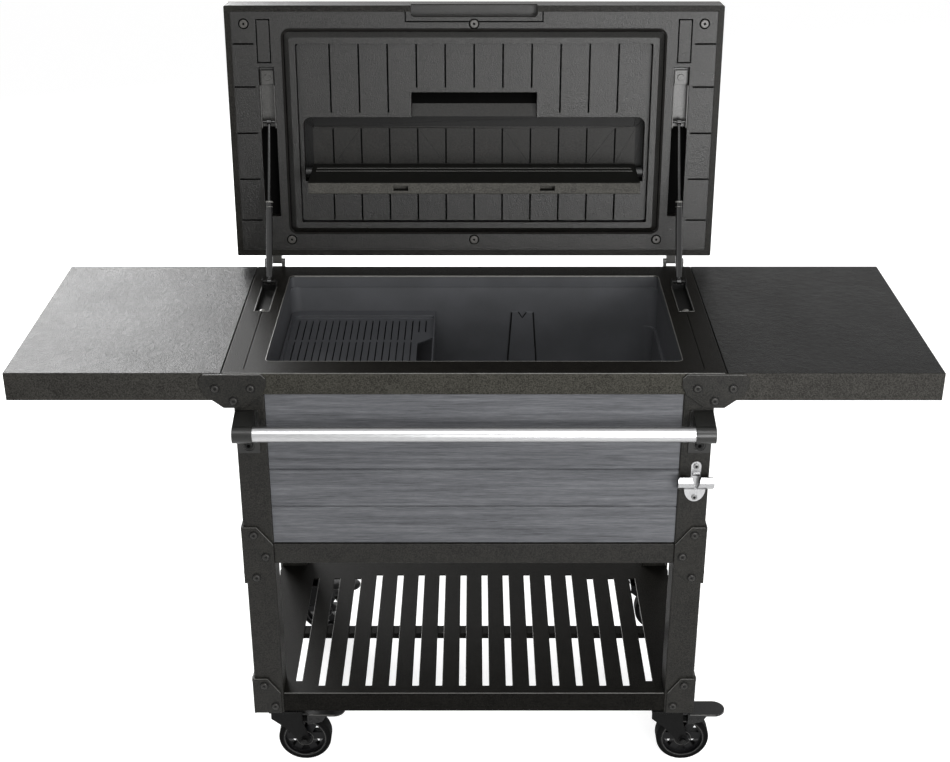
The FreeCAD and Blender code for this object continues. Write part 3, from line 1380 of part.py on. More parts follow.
def panel_grooves():
    # Grooves that divide the inner panel into upright boards.
    low_d = BEAD_REAR_D + BEAD_SLOPE + BEAD_BAND + GROOVE_BAND_GAP
    high_d = BEAD_FRONT_D - BEAD_SLOPE - BEAD_BAND - GROOVE_BAND_GAP
    half = GROOVE_WIDTH / 2
    depth = PANEL_DEPTH + GROOVE_DEPTH
    tools = []
    for index in range(-GROOVES_EACH_SIDE, GROOVES_EACH_SIDE + 1):
        x = index * GROOVE_PITCH
        start = RECESS_FRONT_D + GROOVE_END_GAP
        if abs(x) < NOTCH_HALF_WIDTH + GROOVE_END_GAP:
            start += NOTCH_HEIGHT
        tools.append(lid_box(x - half, x + half, start, high_d, -CUT_PAST, depth))
        low = lid_box(x - half, x + half, low_d, RECESS_REAR_D - GROOVE_END_GAP, -CUT_PAST, depth)
        tools.append(low)
    return tools


def border_grooves():
    # Short lines across the two outer strips of the panel, beside the strut pockets.
    tools = []
    half = GROOVE_WIDTH / 2
    left = STRUT_X + STRUT_POCKET_WIDTH / 2 + POCKET_WALL + 4
    right = LID_HALF - LID_LIP - 1
    for part_of_depth in BORDER_GROOVE_PARTS:
        d = LID_DEPTH * part_of_depth
        groove = lid_box(left, right, d - half, d + half, -CUT_PAST, PANEL_DEPTH + GROOVE_DEPTH)
        tools.extend([groove, mirrored(groove)])
    return tools


def outline_grooves():
    # Thin lines round the hand grip and above each strut pocket.
    depth = PANEL_DEPTH + THIN_GROOVE_DEPTH
    width = THIN_GROOVE_WIDTH
    tools = []
    half = GRIP_HALF_WIDTH + GRIP_LINE_MARGIN
    low = LID_DEPTH - GRIP_LENGTH - 10
    high = LID_DEPTH - LID_LIP
    tools.append(lid_box(-half, half, low, low + width, -CUT_PAST, depth))
    for x0 in (-half, half - width):
        tools.append(lid_box(x0, x0 + width, low, high, -CUT_PAST, depth))
    x0 = STRUT_X - 11
    x1 = STRUT_X + 17
    low = strut_pocket_span()[1] + 8
    high = LID_DEPTH - 2.2 * LID_LIP
    frame = lid_box(x0, x1, low, high, -CUT_PAST, depth)
    inside = lid_box(
        x0 + width, x1 - width, low + width, high - width, -2 * CUT_PAST, depth + CUT_PAST,
    )
    frame = frame.cut(inside)
    tools.extend([frame, mirrored(frame)])
    return tools


def lid_screw_places():
    front_x = STRUT_X + 40
    rear_x = BEAD_HALF_WIDTH + 1
    return (
        (front_x, LID_SCREW_FRONT_D), (-front_x, LID_SCREW_FRONT_D), (0.0, LID_SCREW_FRONT_D),
        (0.0, LID_SCREW_REAR_D), (rear_x, LID_SCREW_REAR_D), (-rear_x, LID_SCREW_REAR_D),
    )


def lid_inner_panel():
    skin = LID_SKIN
    plate = lid_box(
        -LID_HALF + skin, LID_HALF - skin, skin, LID_DEPTH - skin, PANEL_DEPTH, PANEL_DEPTH + LID_PANEL,
    )
    body = joined([plate, bead_frame()] + pocket_blocks())
    body = without(body, pocket_spaces() + panel_grooves() + border_grooves() + outline_grooves())
    body = body.fuse(recess_pad())
    tools = []
    for x, d in lid_screw_places():
        y, z = lid_point(d, PANEL_DEPTH)
        tools.append(rod_z(LID_SCREW_SHANK + 0.1, z - CUT_PAST, z + LID_PANEL + CUT_PAST, x, y))
    y, z = lid_point(FLAP_PIVOT_D, PANEL_DEPTH + FLAP_PIVOT_DEPTH)
    pin_hole = rod_x(
        FLAP_PIN_RADIUS + RUNNING_FIT, RECESS_HALF_WIDTH - CUT_PAST,
        RECESS_HALF_WIDTH + POCKET_WALL + CUT_PAST, y, z,
    )
    tools.extend([pin_hole, mirrored(pin_hole)])
    return without(body, tools)


def lid_core():
    skin = LID_SKIN
    block = lid_box(
        -LID_HALF + skin, LID_HALF - skin, skin, LID_DEPTH - skin,
        PANEL_DEPTH + LID_PANEL, LID_THICKNESS - skin,
    )
    y, z = lid_point(FLAP_PIVOT_D, PANEL_DEPTH + FLAP_PIVOT_DEPTH)
    pin_room = rod_x(
        FLAP_PIN_RADIUS + 1, RECESS_HALF_WIDTH, RECESS_HALF_WIDTH + POCKET_WALL + 4, y, z,
    )
    return without(block, pocket_blocks() + [pin_room, mirrored(pin_room)])


def lid_seal():
    # A thin soft strip lying round the foot of the bead frame.
    def outline(grow, depth0, depth1):
        half = BEAD_HALF_WIDTH + grow
        y0, z0 = lid_point(BEAD_FRONT_D + grow, depth0)
        y1, z1 = lid_point(BEAD_REAR_D - grow, depth1)
        return rounded_box(-half, half, y0, y1, z0, z1, BEAD_CORNER_RADIUS + grow)

    ring = outline(SEAL_OUTER, -SEAL_PROUD, PANEL_DEPTH)
    return ring.cut(outline(SEAL_INNER, -SEAL_PROUD - CUT_PAST, PANEL_DEPTH + CUT_PAST))


def lid_screws():
    screws = []
    for x, d in lid_screw_places():
        y, z = lid_point(d, PANEL_DEPTH)
        low = z - LID_SCREW_HEIGHT
        head = rod_z(LID_SCREW_HEAD, low, z, x, y)
        rim = [edge for edge in head.Edges if abs(edge.BoundBox.ZMax - low) < EDGE_TOLERANCE]
        head = head.makeFillet(LID_SCREW_HEIGHT * 0.6, rim)
        head = head.cut(rod_z(LID_SCREW_HEAD * 0.3, low - CUT_PAST, low + LID_SCREW_HEIGHT / 2, x, y))
        screws.append(head.fuse(rod_z(LID_SCREW_SHANK, z, z + LID_PANEL - 0.1, x, y)))
    return Part.makeCompound(screws)


def hinge_base():
    # Plate on the rear face of the deck, with the two outer knuckles of the hinge.
    y0 = BODY_DEPTH
    y1 = y0 + HINGE_PLATE
    low = WORK_TOP_Z - HINGE_PLATE_DROP
    top = WORK_TOP_Z - GAP
    parts = [box(HINGE_INNER_X, HINGE_OUTER_X, y0, y1, low, top)]
    for x0, x1 in ((HINGE_INNER_X, LEAF_INNER_X - GAP), (LEAF_OUTER_X + GAP, HINGE_OUTER_X)):
        parts.append(box(x0, x1, y0, y1, top - CUT_PAST, HINGE_Z))
        parts.append(rod_x(HINGE_BARREL_RADIUS, x0, x1, HINGE_Y, HINGE_Z))
    for x in (HINGE_INNER_X + HINGE_SCREW_INSET, HINGE_OUTER_X - HINGE_SCREW_INSET):
        for z in (low + HINGE_SCREW_INSET, low + HINGE_SCREW_INSET + HINGE_SCREW_SPACING):
            parts.append(rod_y(HINGE_SCREW_RADIUS, y1, y1 + HINGE_SCREW_HEIGHT, x, z))
    return joined(parts).cut(hinge_bore())


def hinge_bore():
    x0 = HINGE_INNER_X - CUT_PAST
    x1 = HINGE_OUTER_X + CUT_PAST
    return rod_x(HINGE_PIN_RADIUS + RUNNING_FIT, x0, x1, HINGE_Y, HINGE_Z)


def hinge_pins():
    return both_sides(rod_x(HINGE_PIN_RADIUS, HINGE_INNER_X, HINGE_OUTER_X, HINGE_Y, HINGE_Z))


def hinge_leaf():
    barrel = rod_x(HINGE_BARREL_RADIUS, LEAF_INNER_X, LEAF_OUTER_X, HINGE_Y, HINGE_Z)
    block = prism_x([
        lid_point(0.0, 1.0), (HINGE_Y, HINGE_Z - HINGE_BARREL_RADIUS),
        (HINGE_Y, HINGE_Z + HINGE_BARREL_RADIUS), lid_point(0.0, LEAF_TOP_DEPTH),
    ], LEAF_INNER_X, LEAF_OUTER_X)
    return joined([barrel, block]).cut(hinge_bore())


# Fold-down shelf, drawn folded up into its recess

def lid_shelf():
    y0, z0 = lid_point(RECESS_FRONT_D - FLAP_END_GAP, PANEL_DEPTH)
    y1 = lid_point(FLAP_PIVOT_D - FLAP_TAIL, PANEL_DEPTH)[0]
    board = box(-FLAP_HALF_WIDTH, FLAP_HALF_WIDTH, y0, y1, z0, z0 + FLAP_THICKNESS)
    long_edges = [
        edge for edge in board.Edges
        if edge.BoundBox.XLength > FLAP_HALF_WIDTH and edge.BoundBox.YMax < y0 + EDGE_TOLERANCE
    ]
    board = board.makeFillet(FLAP_EDGE_RADIUS, long_edges)
    tools = []
    for x in (-FLAP_SLOT_X, FLAP_SLOT_X):
        tools.append(box(
            x - FLAP_SLOT_HALF, x + FLAP_SLOT_HALF, y0 - CUT_PAST, y0 + FLAP_SLOT_DEPTH,
            z0 + FLAP_SLOT_LOW, z0 + FLAP_SLOT_HIGH,
        ))
    return without(board, tools)


def lid_shelf_ends():
    # Round lugs at the ends of the shelf, with the pins it turns on.
    y, z = lid_point(FLAP_PIVOT_D, PANEL_DEPTH + FLAP_PIVOT_DEPTH)
    lug = rod_x(FLAP_LUG_RADIUS, FLAP_HALF_WIDTH, RECESS_HALF_WIDTH - 1, y, z)
    pin = rod_x(FLAP_PIN_RADIUS, RECESS_HALF_WIDTH - 1, RECESS_HALF_WIDTH + POCKET_WALL, y, z)
    return both_sides(joined([lug, pin]))


def shelf_opened(shape):
    y, z = lid_point(FLAP_PIVOT_D, PANEL_DEPTH + FLAP_PIVOT_DEPTH)
    return opened(turned_about_x(shape, FLAP_OPEN_ANGLE, y, z))


# Gas struts, drawn along z from the lower pin

def strut_pins():
    lower = (STRUT_LOWER_Y, WORK_TOP_Z + STRUT_LOWER_RISE)
    closed = lid_point(STRUT_UPPER_D, STRUT_UPPER_DEPTH)
    return lower, closed, opened_point(*closed)


def strut_lengths():
    # Pin to pin when closed and when open, then the lengths of tube and rod.
    lower, closed, upper = strut_pins()
    shut = math.hypot(closed[0] - lower[0], closed[1] - lower[1])
    extended = math.hypot(upper[0] - lower[0], upper[1] - lower[1])
    rod = shut - STRUT_EYE_RADIUS - STRUT_ROD_SHORT
    tube = shut - STRUT_EYE_RADIUS - STRUT_TUBE_SHORT
    return shut, extended, tube, rod


def strut_set(shape):
    lower, closed, upper = strut_pins()
    angle = math.degrees(math.atan2(upper[1] - lower[1], upper[0] - lower[0]))
    result = moved(shape, STRUT_X, lower[0], lower[1])
    return turned_about_x(result, angle - 90, lower[0], lower[1])


def strut_eye(z):
    half = STRUT_EYE_WIDTH / 2
    return rod_x(STRUT_EYE_RADIUS, -half, half, 0, z)


def strut_tube():
    shut, extended, tube, rod = strut_lengths()
    body = rod_z(STRUT_TUBE_RADIUS, STRUT_EYE_RADIUS + 2, tube, 0, 0)
    neck = rod_z(STRUT_NECK_RADIUS, 2, STRUT_EYE_RADIUS + 3, 0, 0)
    bore = rod_z(STRUT_ROD_RADIUS + RUNNING_FIT, STRUT_EYE_RADIUS + 4, tube + CUT_PAST, 0, 0)
    reach = STRUT_EYE_WIDTH
    pin_bore = rod_x(STRUT_PIN_RADIUS + RUNNING_FIT, -reach, reach, 0, 0)
    return strut_set(joined([body, neck, strut_eye(0)]).cut(bore).cut(pin_bore))


def strut_rod():
    shut, extended, tube, rod = strut_lengths()
    shaft = rod_z(STRUT_ROD_RADIUS, extended - rod, extended, 0, 0)
    half = CHANNEL_WIDTH / 2 - CHANNEL_WALL - STRUT_PIN_CLEARANCE
    pin = rod_x(STRUT_PIN_RADIUS, -half, half, 0, extended)
    return strut_set(joined([shaft, strut_eye(extended), pin]))


def strut_lower_bracket():
    # A channel let into the deck, with a pin between its ears and a stud at its front end.
    half = CHANNEL_WIDTH / 2
    wall = CHANNEL_WALL
    floor = WORK_TOP_Z - LOWER_CHANNEL_DEPTH
    y0 = LOWER_CHANNEL_FRONT_Y
    y1 = STRUT_LOWER_Y + LOWER_CHANNEL_DEPTH
    block = box(STRUT_X - half, STRUT_X + half, y0, y1, floor - wall, WORK_TOP_Z)
    space = box(
        STRUT_X - half + wall, STRUT_X + half - wall, y0 + wall, y1 - wall,
        floor, WORK_TOP_Z + CUT_PAST,
    )
    pin_z = WORK_TOP_Z + STRUT_LOWER_RISE
    ear_foot = WORK_TOP_Z - wall
    ear_top = pin_z + STRUT_PIN_RADIUS + wall
    outline = [
        (y1 - EAR_LENGTH, ear_foot), (y1, ear_foot), (y1 - 3, ear_top), (y1 - EAR_LENGTH + 1, ear_top),
    ]
    parts = [block.cut(space)]
    for x0 in (STRUT_X - half, STRUT_X + half - wall):
        parts.append(prism_x(outline, x0, x0 + wall))
    parts.append(rod_x(STRUT_PIN_RADIUS, STRUT_X - half, STRUT_X + half, STRUT_LOWER_Y, pin_z))
    parts.append(rod_z(BRACKET_STUD_RADIUS, floor, floor + BRACKET_STUD_HEIGHT, STRUT_X, y0 + 12))
    return joined(parts)


def strut_upper_bracket():
    # The same kind of channel on the floor of the strut pocket in the lid.
    half = CHANNEL_WIDTH / 2
    wall = CHANNEL_WALL
    floor = PANEL_DEPTH + STRUT_POCKET_DEPTH
    start = STRUT_UPPER_D - UPPER_CHANNEL_REAR
    end = STRUT_UPPER_D + UPPER_CHANNEL_FRONT
    block_front = end - UPPER_CHANNEL_MARGIN
    block_rear = block_front - BRACKET_BLOCK_LENGTH
    block_face = floor - BRACKET_BLOCK_HEIGHT
    parts = [lid_box(STRUT_X - half, STRUT_X + half, start, end, floor - wall, floor)]
    for x0 in (STRUT_X - half, STRUT_X + half - wall):
        parts.append(lid_box(x0, x0 + wall, start, block_rear, PANEL_DEPTH + 1, floor))
    parts.append(lid_box(
        STRUT_X - BRACKET_BLOCK_HALF, STRUT_X + BRACKET_BLOCK_HALF,
        block_rear, block_front, block_face, floor - wall,
    ))
    y, z = lid_point((block_rear + block_front) / 2, block_face)
    parts.append(rod_z(BRACKET_STUD_RADIUS, z - BRACKET_STUD_HEIGHT, z, STRUT_X, y))
    return joined(parts)


# All the pieces, by name

def caster_pieces():
    corners = {
        "front_left": (-SWIVEL_X, SWIVEL_YS[0]),
        "front_right": (SWIVEL_X, SWIVEL_YS[0]),
        "rear_left": (-SWIVEL_X, SWIVEL_YS[1]),
        "rear_right": (SWIVEL_X, SWIVEL_YS[1]),
    }
    shapes = {
        "caster_fork": caster_fork(),
        "caster_wheel": caster_wheel(),
        "caster_tyre": caster_tyre(),
        "caster_pedal": caster_pedal(),
    }
    pieces = {}
    for corner, (x, y) in corners.items():
        for name, shape in shapes.items():
            pieces[name + "_" + corner] = moved(shape, x, y, 0)
    return pieces


def all_pieces():
    rear_y = BODY_DEPTH - POST_SIDE
    pieces = {
        "post_front_left": post(-POST_OUT_X, 0),
        "post_front_right": post(POST_IN_X, 0),
        "post_rear_left": post(-POST_OUT_X, rear_y),
        "post_rear_right": post(POST_IN_X, rear_y),
        "deck_frame": deck_frame(),
        "lower_rails": Part.makeCompound(rail_ring(BOX_RAIL_TOP_Z, BOX_RAIL_HEIGHT)),
        "shelf_rails": shelf_rails(),
        "shelf_panel": shelf_panel(),
        "front_planks": front_planks(),
        "side_planks": side_planks(),
        "rear_planks": front_to_rear(front_planks()),
        "box_floor": box_floor(),
        "tub_liner": tub_liner(),
        "tub_foam": tub_foam(),
        "drain_outlet": drain_outlet(),
        "drain_cap": drain_cap(),
        "tray": tray(),
        "side_table_right": side_table(),
        "side_table_left": mirrored(side_table()),
        "table_beams": table_beams(),
        "corner_plates": corner_plates(),
        "corner_bolts": corner_bolts(),
        "handle_tube": handle_tube(),
        "handle_brackets": handle_brackets(),
        "handle_screws": handle_screws(),
        "bottle_opener": bottle_opener(),
        "opener_screws": opener_screws(),
        "caster_mounts": caster_mounts(),
        "strut_lower_brackets": both_sides(strut_lower_bracket()),
        "hinge_bases": both_sides(hinge_base()),
        "hinge_pins": hinge_pins(),
        "lid_shell": opened(lid_shell()),
        "lid_inner_panel": opened(lid_inner_panel()),
        "lid_core": opened(lid_core()),
        "lid_seal": opened(lid_seal()),
        "lid_screws": opened(lid_screws()),
        "lid_hinge_leaves": opened(both_sides(hinge_leaf())),
        "strut_upper_brackets": opened(both_sides(strut_upper_bracket())),
        "lid_shelf": shelf_opened(lid_shelf()),
        "lid_shelf_ends": shelf_opened(lid_shelf_ends()),
        "strut_tube_right": strut_tube(),
        "strut_tube_left": mirrored(strut_tube()),
        "strut_rod_right": strut_rod(),
        "strut_rod_left": mirrored(strut_rod()),
    }
    pieces.update(caster_pieces())
    return pieces


def centre_y(pieces):
    # Half way between the front of the handle and the back of the open lid.
    box_of_all = Part.makeCompound(list(pieces.values())).BoundBox
    return (box_of_all.YMin + box_of_all.YMax) / 2


def main():
    os.makedirs("parts", exist_ok=True)
    pieces = all_pieces()
    shift = -centre_y(pieces)
    for name, shape in pieces.items():
        moved(shape, 0, shift, 0).exportStep("parts/" + name + ".step")


main()
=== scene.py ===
"""Cooler table with lid: materials, small fittings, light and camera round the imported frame."""
import math

import bmesh
import bpy
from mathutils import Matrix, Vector
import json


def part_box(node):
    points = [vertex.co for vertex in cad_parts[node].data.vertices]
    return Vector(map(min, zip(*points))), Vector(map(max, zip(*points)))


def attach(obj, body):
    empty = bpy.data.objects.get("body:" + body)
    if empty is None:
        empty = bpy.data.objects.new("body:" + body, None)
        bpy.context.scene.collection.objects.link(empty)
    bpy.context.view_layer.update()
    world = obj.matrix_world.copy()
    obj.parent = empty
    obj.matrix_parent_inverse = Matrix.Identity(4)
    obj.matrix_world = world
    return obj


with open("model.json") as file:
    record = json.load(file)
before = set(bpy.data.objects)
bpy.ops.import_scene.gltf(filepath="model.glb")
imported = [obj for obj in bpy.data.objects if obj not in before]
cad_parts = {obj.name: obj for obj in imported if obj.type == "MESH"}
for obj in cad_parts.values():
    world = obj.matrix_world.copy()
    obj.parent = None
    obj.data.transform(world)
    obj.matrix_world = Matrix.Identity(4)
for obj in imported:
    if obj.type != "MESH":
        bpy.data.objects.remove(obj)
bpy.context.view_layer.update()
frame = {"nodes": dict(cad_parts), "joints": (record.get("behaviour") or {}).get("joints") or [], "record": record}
nodes = frame["nodes"]

# Places taken from the frame; all places and sizes in this script are in metres
FRONT_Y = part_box("post_front_left")[0].y
TOP_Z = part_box("side_table_left")[1].z

# Camera: image, focal length and centre shift in pixels, sensor in millimetres, pitch in degrees
IMAGE_WIDTH = 950
FOCAL_PIXELS = 1533.8
SENSOR_WIDTH = 36.0
CAMERA_PITCH = 25.57
CAMERA_BEFORE_FRONT = 2.4594
CAMERA_ABOVE_TOP = 1.1616
CENTRE_LEFT_OF_IMAGE = 0.9

# Lamps: name, place, the point that each looks at, its two sides, and its power in watts
LAMPS = (
    ("front_right", (1.7, -3.1, 1.5), (0.15, 0, 0.95), (1.6, 1.2), 45),
    ("low_right", (0.85, -1.95, 1.0), (0.4, 0.28, 1.15), (1.6, 0.7), 32),
    ("fill", (-3.0, -2.4, 2.4), (0, 0, 0.7), (2.4, 2.0), 10),
    ("back_left", (-1.95, 3.3, 2.8), (-0.75, 0.0, 0.87), (1.7, 1.8), 250),
    ("top", (0.2, -1.9, 3.3), (0, 0.1, 0.7), (2.6, 1.3), 62),
)

# Floor and surroundings: seen as white, but giving little light
FLOOR_REACH = 14.0
FLOOR_GREY = 0.5
FLOOR_ROUGHNESS = 0.9
FLOOR_GLOW = 0.8
SKY_LIGHT = 0.28
SKY_SEEN = 1.0

# Meshes: limits for joined points, straight faces, sharp bends and upright paths, then step counts
SAME_POINT = 0.000001
LOOKS_STRAIGHT = 0.99
SHARP_BEND = math.radians(35)
UPRIGHT = 0.01
CORNER_STEPS = 8
HEXAGON = 6

# Rings: inner and outer edge past a radius, height and bevel
BOLT_WASHER = (-0.0002, 0.0017, 0.0010, 0.0003)
LID_SCREW_RING = (0.0001, 0.0024, 0.0005, 0.00015)
STRUT_END_RING = (-0.0005, 0.0006, 0.0030, 0.0003)
STRUT_GROOVE_RING = (-0.0005, 0.0004, 0.0012, 0.0002)
TYRE_RIB = (-0.0008, 0.0, 0.0005, 0.0002)
WHEEL_LINE = (-0.0007, 0.0, 0.0006, 0.0002)
STRAINER_RING = (-0.0012, 0.0, 0.0014, 0.0003)

# The same for rings about their own centre
BOLT_SOCKET = (0.0004, 0.0026, 0.00016, 0.00004)
LID_SCREW_SOCKET = (0.0004, 0.0022, 0.0002, 0.00005)
HANDLE_SOCKET = (0.0004, 0.0036, 0.0002, 0.00005)
OPENER_SOCKET = (0.0004, 0.0027, 0.0002, 0.00005)
AXLE_NUT = (0.0026, 0.0066, 0.0034, 0.0007)
AXLE_TIP = (0.0003, 0.0028, 0.0044, 0.0008)

# How deep the black sockets of painted shade, the nuts, the ribs and the highlight lines sit in what carries them
BOLT_SOCKET_SUNK = 0.00006
SCREW_SOCKET_SUNK = 0.00005
NUT_SUNK = 0.0003
RIB_SUNK = 0.0001
WHEEL_LINE_SUNK = 0.0002

# Painted highlight lines on the front plates, and how far up the face beside a line looks at least
PLATE_LINE_RADIUS = 0.0006
PLATE_LINE_STEPS = 8
PLATE_RISE = 0.05

# Open lid: its lean, its directions, and the inner panel's face along the outward direction
LID_LEAN = math.radians(3.73)
LID_OUT = Vector((0, -math.cos(LID_LEAN), math.sin(LID_LEAN)))
LID_UP = Vector((0, math.sin(LID_LEAN), math.cos(LID_LEAN)))
PANEL_FACE = -0.1879

# Floors in the inner panel: least and greatest depth behind its face, and the lift of the painted shade laid on
# them
GROOVE_FLOOR = (0.0008, 0.0022, 0.0007)
NOTCH_FLOOR = (0.0197, 0.0203, 0.0005)
STRUT_GROOVE_FLOOR = (0.0204, 0.0206, 0.0004)
PAD_GROOVE_FLOOR = (0.0268, 0.0272, 0.0005)
RECESS_FLOOR = (0.0273, 0.0277, 0.0003)
RECESS_PAD = (0.0258, 0.0262, 0.0003)

# Finger notch: half its width, its span up the lid, and which of its faces get the dark skin of painted shade
NOTCH_HALF = 0.127
NOTCH_HEIGHTS = (1.195, 1.226)
NOTCH_LEAST_DEPTH = 0.001
NOTCH_LEAST_RISE = -0.5
NOTCH_SKIN_LIFT = 0.0003

# Raised frame of the panel: depths round its top, how far in and out its foot is, and the painted shadow lines at
# its foot
BEAD_TOP_DEPTHS = (-0.012, -0.011)
BEAD_BAND = 0.012
BEAD_SLOPE = 0.011
BEAD_CORNER = 0.008
BEAD_INNER_RADIUS = 0.0015
BEAD_OUTER_RADIUS = 0.0009

# Ridges on the small shelf in the lid, light-coloured as painted highlights
SHELF_RIDGES_Y = (0.2316, 0.250)
SHELF_RIDGE_INSET = 0.009
SHELF_RIDGE_RADIUS = 0.0008

# Rolled edges of the deck, of the lower shelf and of the slots in it, light-coloured as painted highlights
DECK_EDGE_RADIUS = 0.0011
DECK_EDGE_DROP = 0.0010
DECK_EDGE_INSET = 0.004
SHELF_EDGE_RADIUS = 0.0009
SHELF_EDGE_BACK = 0.0006
SHELF_EDGE_INSET = 0.001
SLOT_EDGE_RADIUS = 0.0006
SLOT_EDGE_OUT = 0.0003
SLOT_FROM_POST = 0.004

# Strut channels in the deck: width, plain stretch at the rear, the painted highlight along their edges, and the
# stud at the front
CHANNEL_SPAN = 0.030
CHANNEL_REAR = 0.014
CHANNEL_EDGE_RADIUS = 0.0007
STUD_FROM_FRONT = 0.012
STUD_FROM_FLOOR = 0.006
STUD_OUTLINE = ((0.0005, 0), (0.0064, 0), (0.0064, 0.0025), (0.0046, 0.0042), (0.0005, 0.0050))

# Tub rim: from the liner's box in to the deck's opening, then the painted highlight beads and the band of painted
# light in it
RIM_INSET = 0.012
RIM_CORNER = 0.009
RIM_BEAD_RADIUS = 0.0009
RIM_BEAD_DROP = 0.0005
REAR_LINE_RADIUS = 0.0011
REAR_LINE_DROP = 0.0012
REAR_LINE_FORWARD = 0.001
RIM_BAND_TOP = 0.003
RIM_BAND_DEPTHS = (0.0003, 0.0009)

# Pilaster on the tub's rear wall: how proud its face is, its lines of painted shade, and the dark V-shaped line at
# its head
PILASTER_PROUD = (0.002, 0.0045)
PILASTER_LEVEL = 0.001
PILASTER_LINE_RADIUS = 0.0015
HEAD_LINE_RADIUS = 0.0013
HEAD_LINE_SHARE = 0.37

# Rings on the struts, light-coloured as painted highlights, back from the open end of the tube
STRUT_END_BACK = 0.004
STRUT_GROOVE_BACK = 0.013

# Casters: radii of the tyre's ribs and of the wheel's painted highlight lines, and the painted highlight lip of
# the brake pedal
CASTER_CORNERS = ("front_left", "front_right", "rear_left", "rear_right")
TYRE_RIB_RADII = (0.0468, 0.0494)
WHEEL_LINE_RADII = (0.0170, 0.0415)
AXLE_TIP_STEPS = 20
TYRE_RIB_STEPS = 64
WHEEL_LINE_STEPS = 56
PEDAL_LIP_RADIUS = 0.0008
PEDAL_LIP_BACK = 0.0014
PEDAL_LIP_DROP = 0.0038
PEDAL_LIP_INSETS = (0.026, 0.020)

# Drain strainer: radii of its rings, then the number, start and size of its spokes
STRAINER_RADII = (0.005, 0.0095, 0.014)
STRAINER_STEPS = 40
STRAINER_DROP = 0.0016
SPOKES = 6
SPOKE_START = 0.0035
SPOKE_DROP = 0.0010
SPOKE_RADIUS = 0.0006


# Colours and shader nodes

def linear(value):
    """One screen channel, 0 to 255, as linear light."""
    value = value / 255
    if value <= 0.04045:
        return value / 12.92
    return ((value + 0.055) / 1.055) ** 2.4


def screen(red, green, blue):
    """A screen colour as linear light."""
    return (linear(red), linear(green), linear(blue), 1.0)


def scaled_colour(colour, factor):
    """A colour made lighter or darker, and never brighter than white."""
    return tuple(min(1.0, channel * factor) for channel in colour[:3]) + (1.0,)


class Look:
    """A material with one principled shader and small helpers for its texture nodes."""

    def __init__(self, name, colour, roughness, metallic=0.0, ior=1.5):
        self.material = bpy.data.materials.new(name)
        self.material.use_nodes = True
        self.tree = self.material.node_tree
        self.shader = self.tree.nodes["Principled BSDF"]
        self.shader.inputs["Base Color"].default_value = colour
        self.shader.inputs["Roughness"].default_value = roughness
        self.shader.inputs["Metallic"].default_value = metallic
        self.shader.inputs["IOR"].default_value = ior
        self.coordinates = self.tree.nodes.new("ShaderNodeTexCoord")
        self.place = self.coordinates.outputs["Object"]
        self.normal = None

    def link(self, source, target):
        self.tree.links.new(source, target)

    def feed(self, value, target):
        """Sets an input to a plain value, or links a node's output to it."""
        if isinstance(value, (tuple, int, float)):
            target.default_value = value
        else:
            self.link(value, target)

    def noise(self, scale, stretch=(1, 1, 1), detail=4.0, rough=0.55):
        """Noise over the object's own coordinates, stretched by the given factors."""
        mapping = self.tree.nodes.new("ShaderNodeMapping")
        mapping.inputs["Scale"].default_value = stretch
        self.link(self.place, mapping.inputs["Vector"])
        node = self.tree.nodes.new("ShaderNodeTexNoise")
        node.inputs["Scale"].default_value = scale
        node.inputs["Detail"].default_value = detail
        node.inputs["Roughness"].default_value = rough
        self.link(mapping.outputs["Vector"], node.inputs["Vector"])
        return node.outputs["Fac"]

    def ramp(self, source, stops):
        """A colour ramp: stops are (position, colour)."""
        node = self.tree.nodes.new("ShaderNodeValToRGB")
        elements = node.color_ramp.elements
        while len(elements) < len(stops):
            elements.new(0.5)
        for element, (position, colour) in zip(elements, stops):
            element.position = position
            element.color = colour
        self.link(source, node.inputs["Fac"])
        return node.outputs["Color"]

    def span(self, source, low, high):
        """The source, 0 to 1, spread between two values."""
        node = self.tree.nodes.new("ShaderNodeMapRange")
        node.inputs["To Min"].default_value = low
        node.inputs["To Max"].default_value = high
        self.link(source, node.inputs["Value"])
        return node.outputs["Result"]

    def mixed(self, factor, first, second):
        """The first input where the factor is 0, the second where it is 1."""
        node = self.tree.nodes.new("ShaderNodeMix")
        node.data_type = "RGBA"
        targets = [target for target in node.inputs if target.enabled]
        for target, value in zip(targets, (factor, first, second)):
            self.feed(value, target)
        return [output for output in node.outputs if output.enabled][0]

    def facing(self, direction):
        """How far the surface looks in a direction of the object, 0 to 1."""
        product = self.tree.nodes.new("ShaderNodeVectorMath")
        product.operation = "DOT_PRODUCT"
        self.link(self.coordinates.outputs["Normal"], product.inputs[0])
        product.inputs[1].default_value = direction
        return larger(self.tree, product.outputs["Value"], None)

    def colour(self, source):
        self.link(source, self.shader.inputs["Base Color"])

    def roughness(self, source):
        self.link(source, self.shader.inputs["Roughness"])

    def bump(self, height, distance, strength):
        """Raises the surface by the height, on top of any bump that it has."""
        node = self.tree.nodes.new("ShaderNodeBump")
        node.inputs["Distance"].default_value = distance
        node.inputs["Strength"].default_value = strength
        self.link(height, node.inputs["Height"])
        if self.normal:
            self.link(self.normal, node.inputs["Normal"])
        self.use_normal(node.outputs["Normal"])

    def soft_edges(self, radius):
        """Rounds the look of sharp edges a little."""
        node = self.tree.nodes.new("ShaderNodeBevel")
        node.samples = 4
        node.inputs["Radius"].default_value = radius
        self.use_normal(node.outputs["Normal"])

    def use_normal(self, normal):
        self.normal = normal
        self.link(normal, self.shader.inputs["Normal"])


def larger(tree, first, second):
    """The larger of two outputs, or of one output and 0 where the second is None."""
    node = tree.nodes.new("ShaderNodeMath")
    node.operation = "MAXIMUM"
    tree.links.new(first, node.inputs[0])
    if second:
        tree.links.new(second, node.inputs[1])
    else:
        node.inputs[1].default_value = 0.0
    return node.outputs["Value"]


# Materials

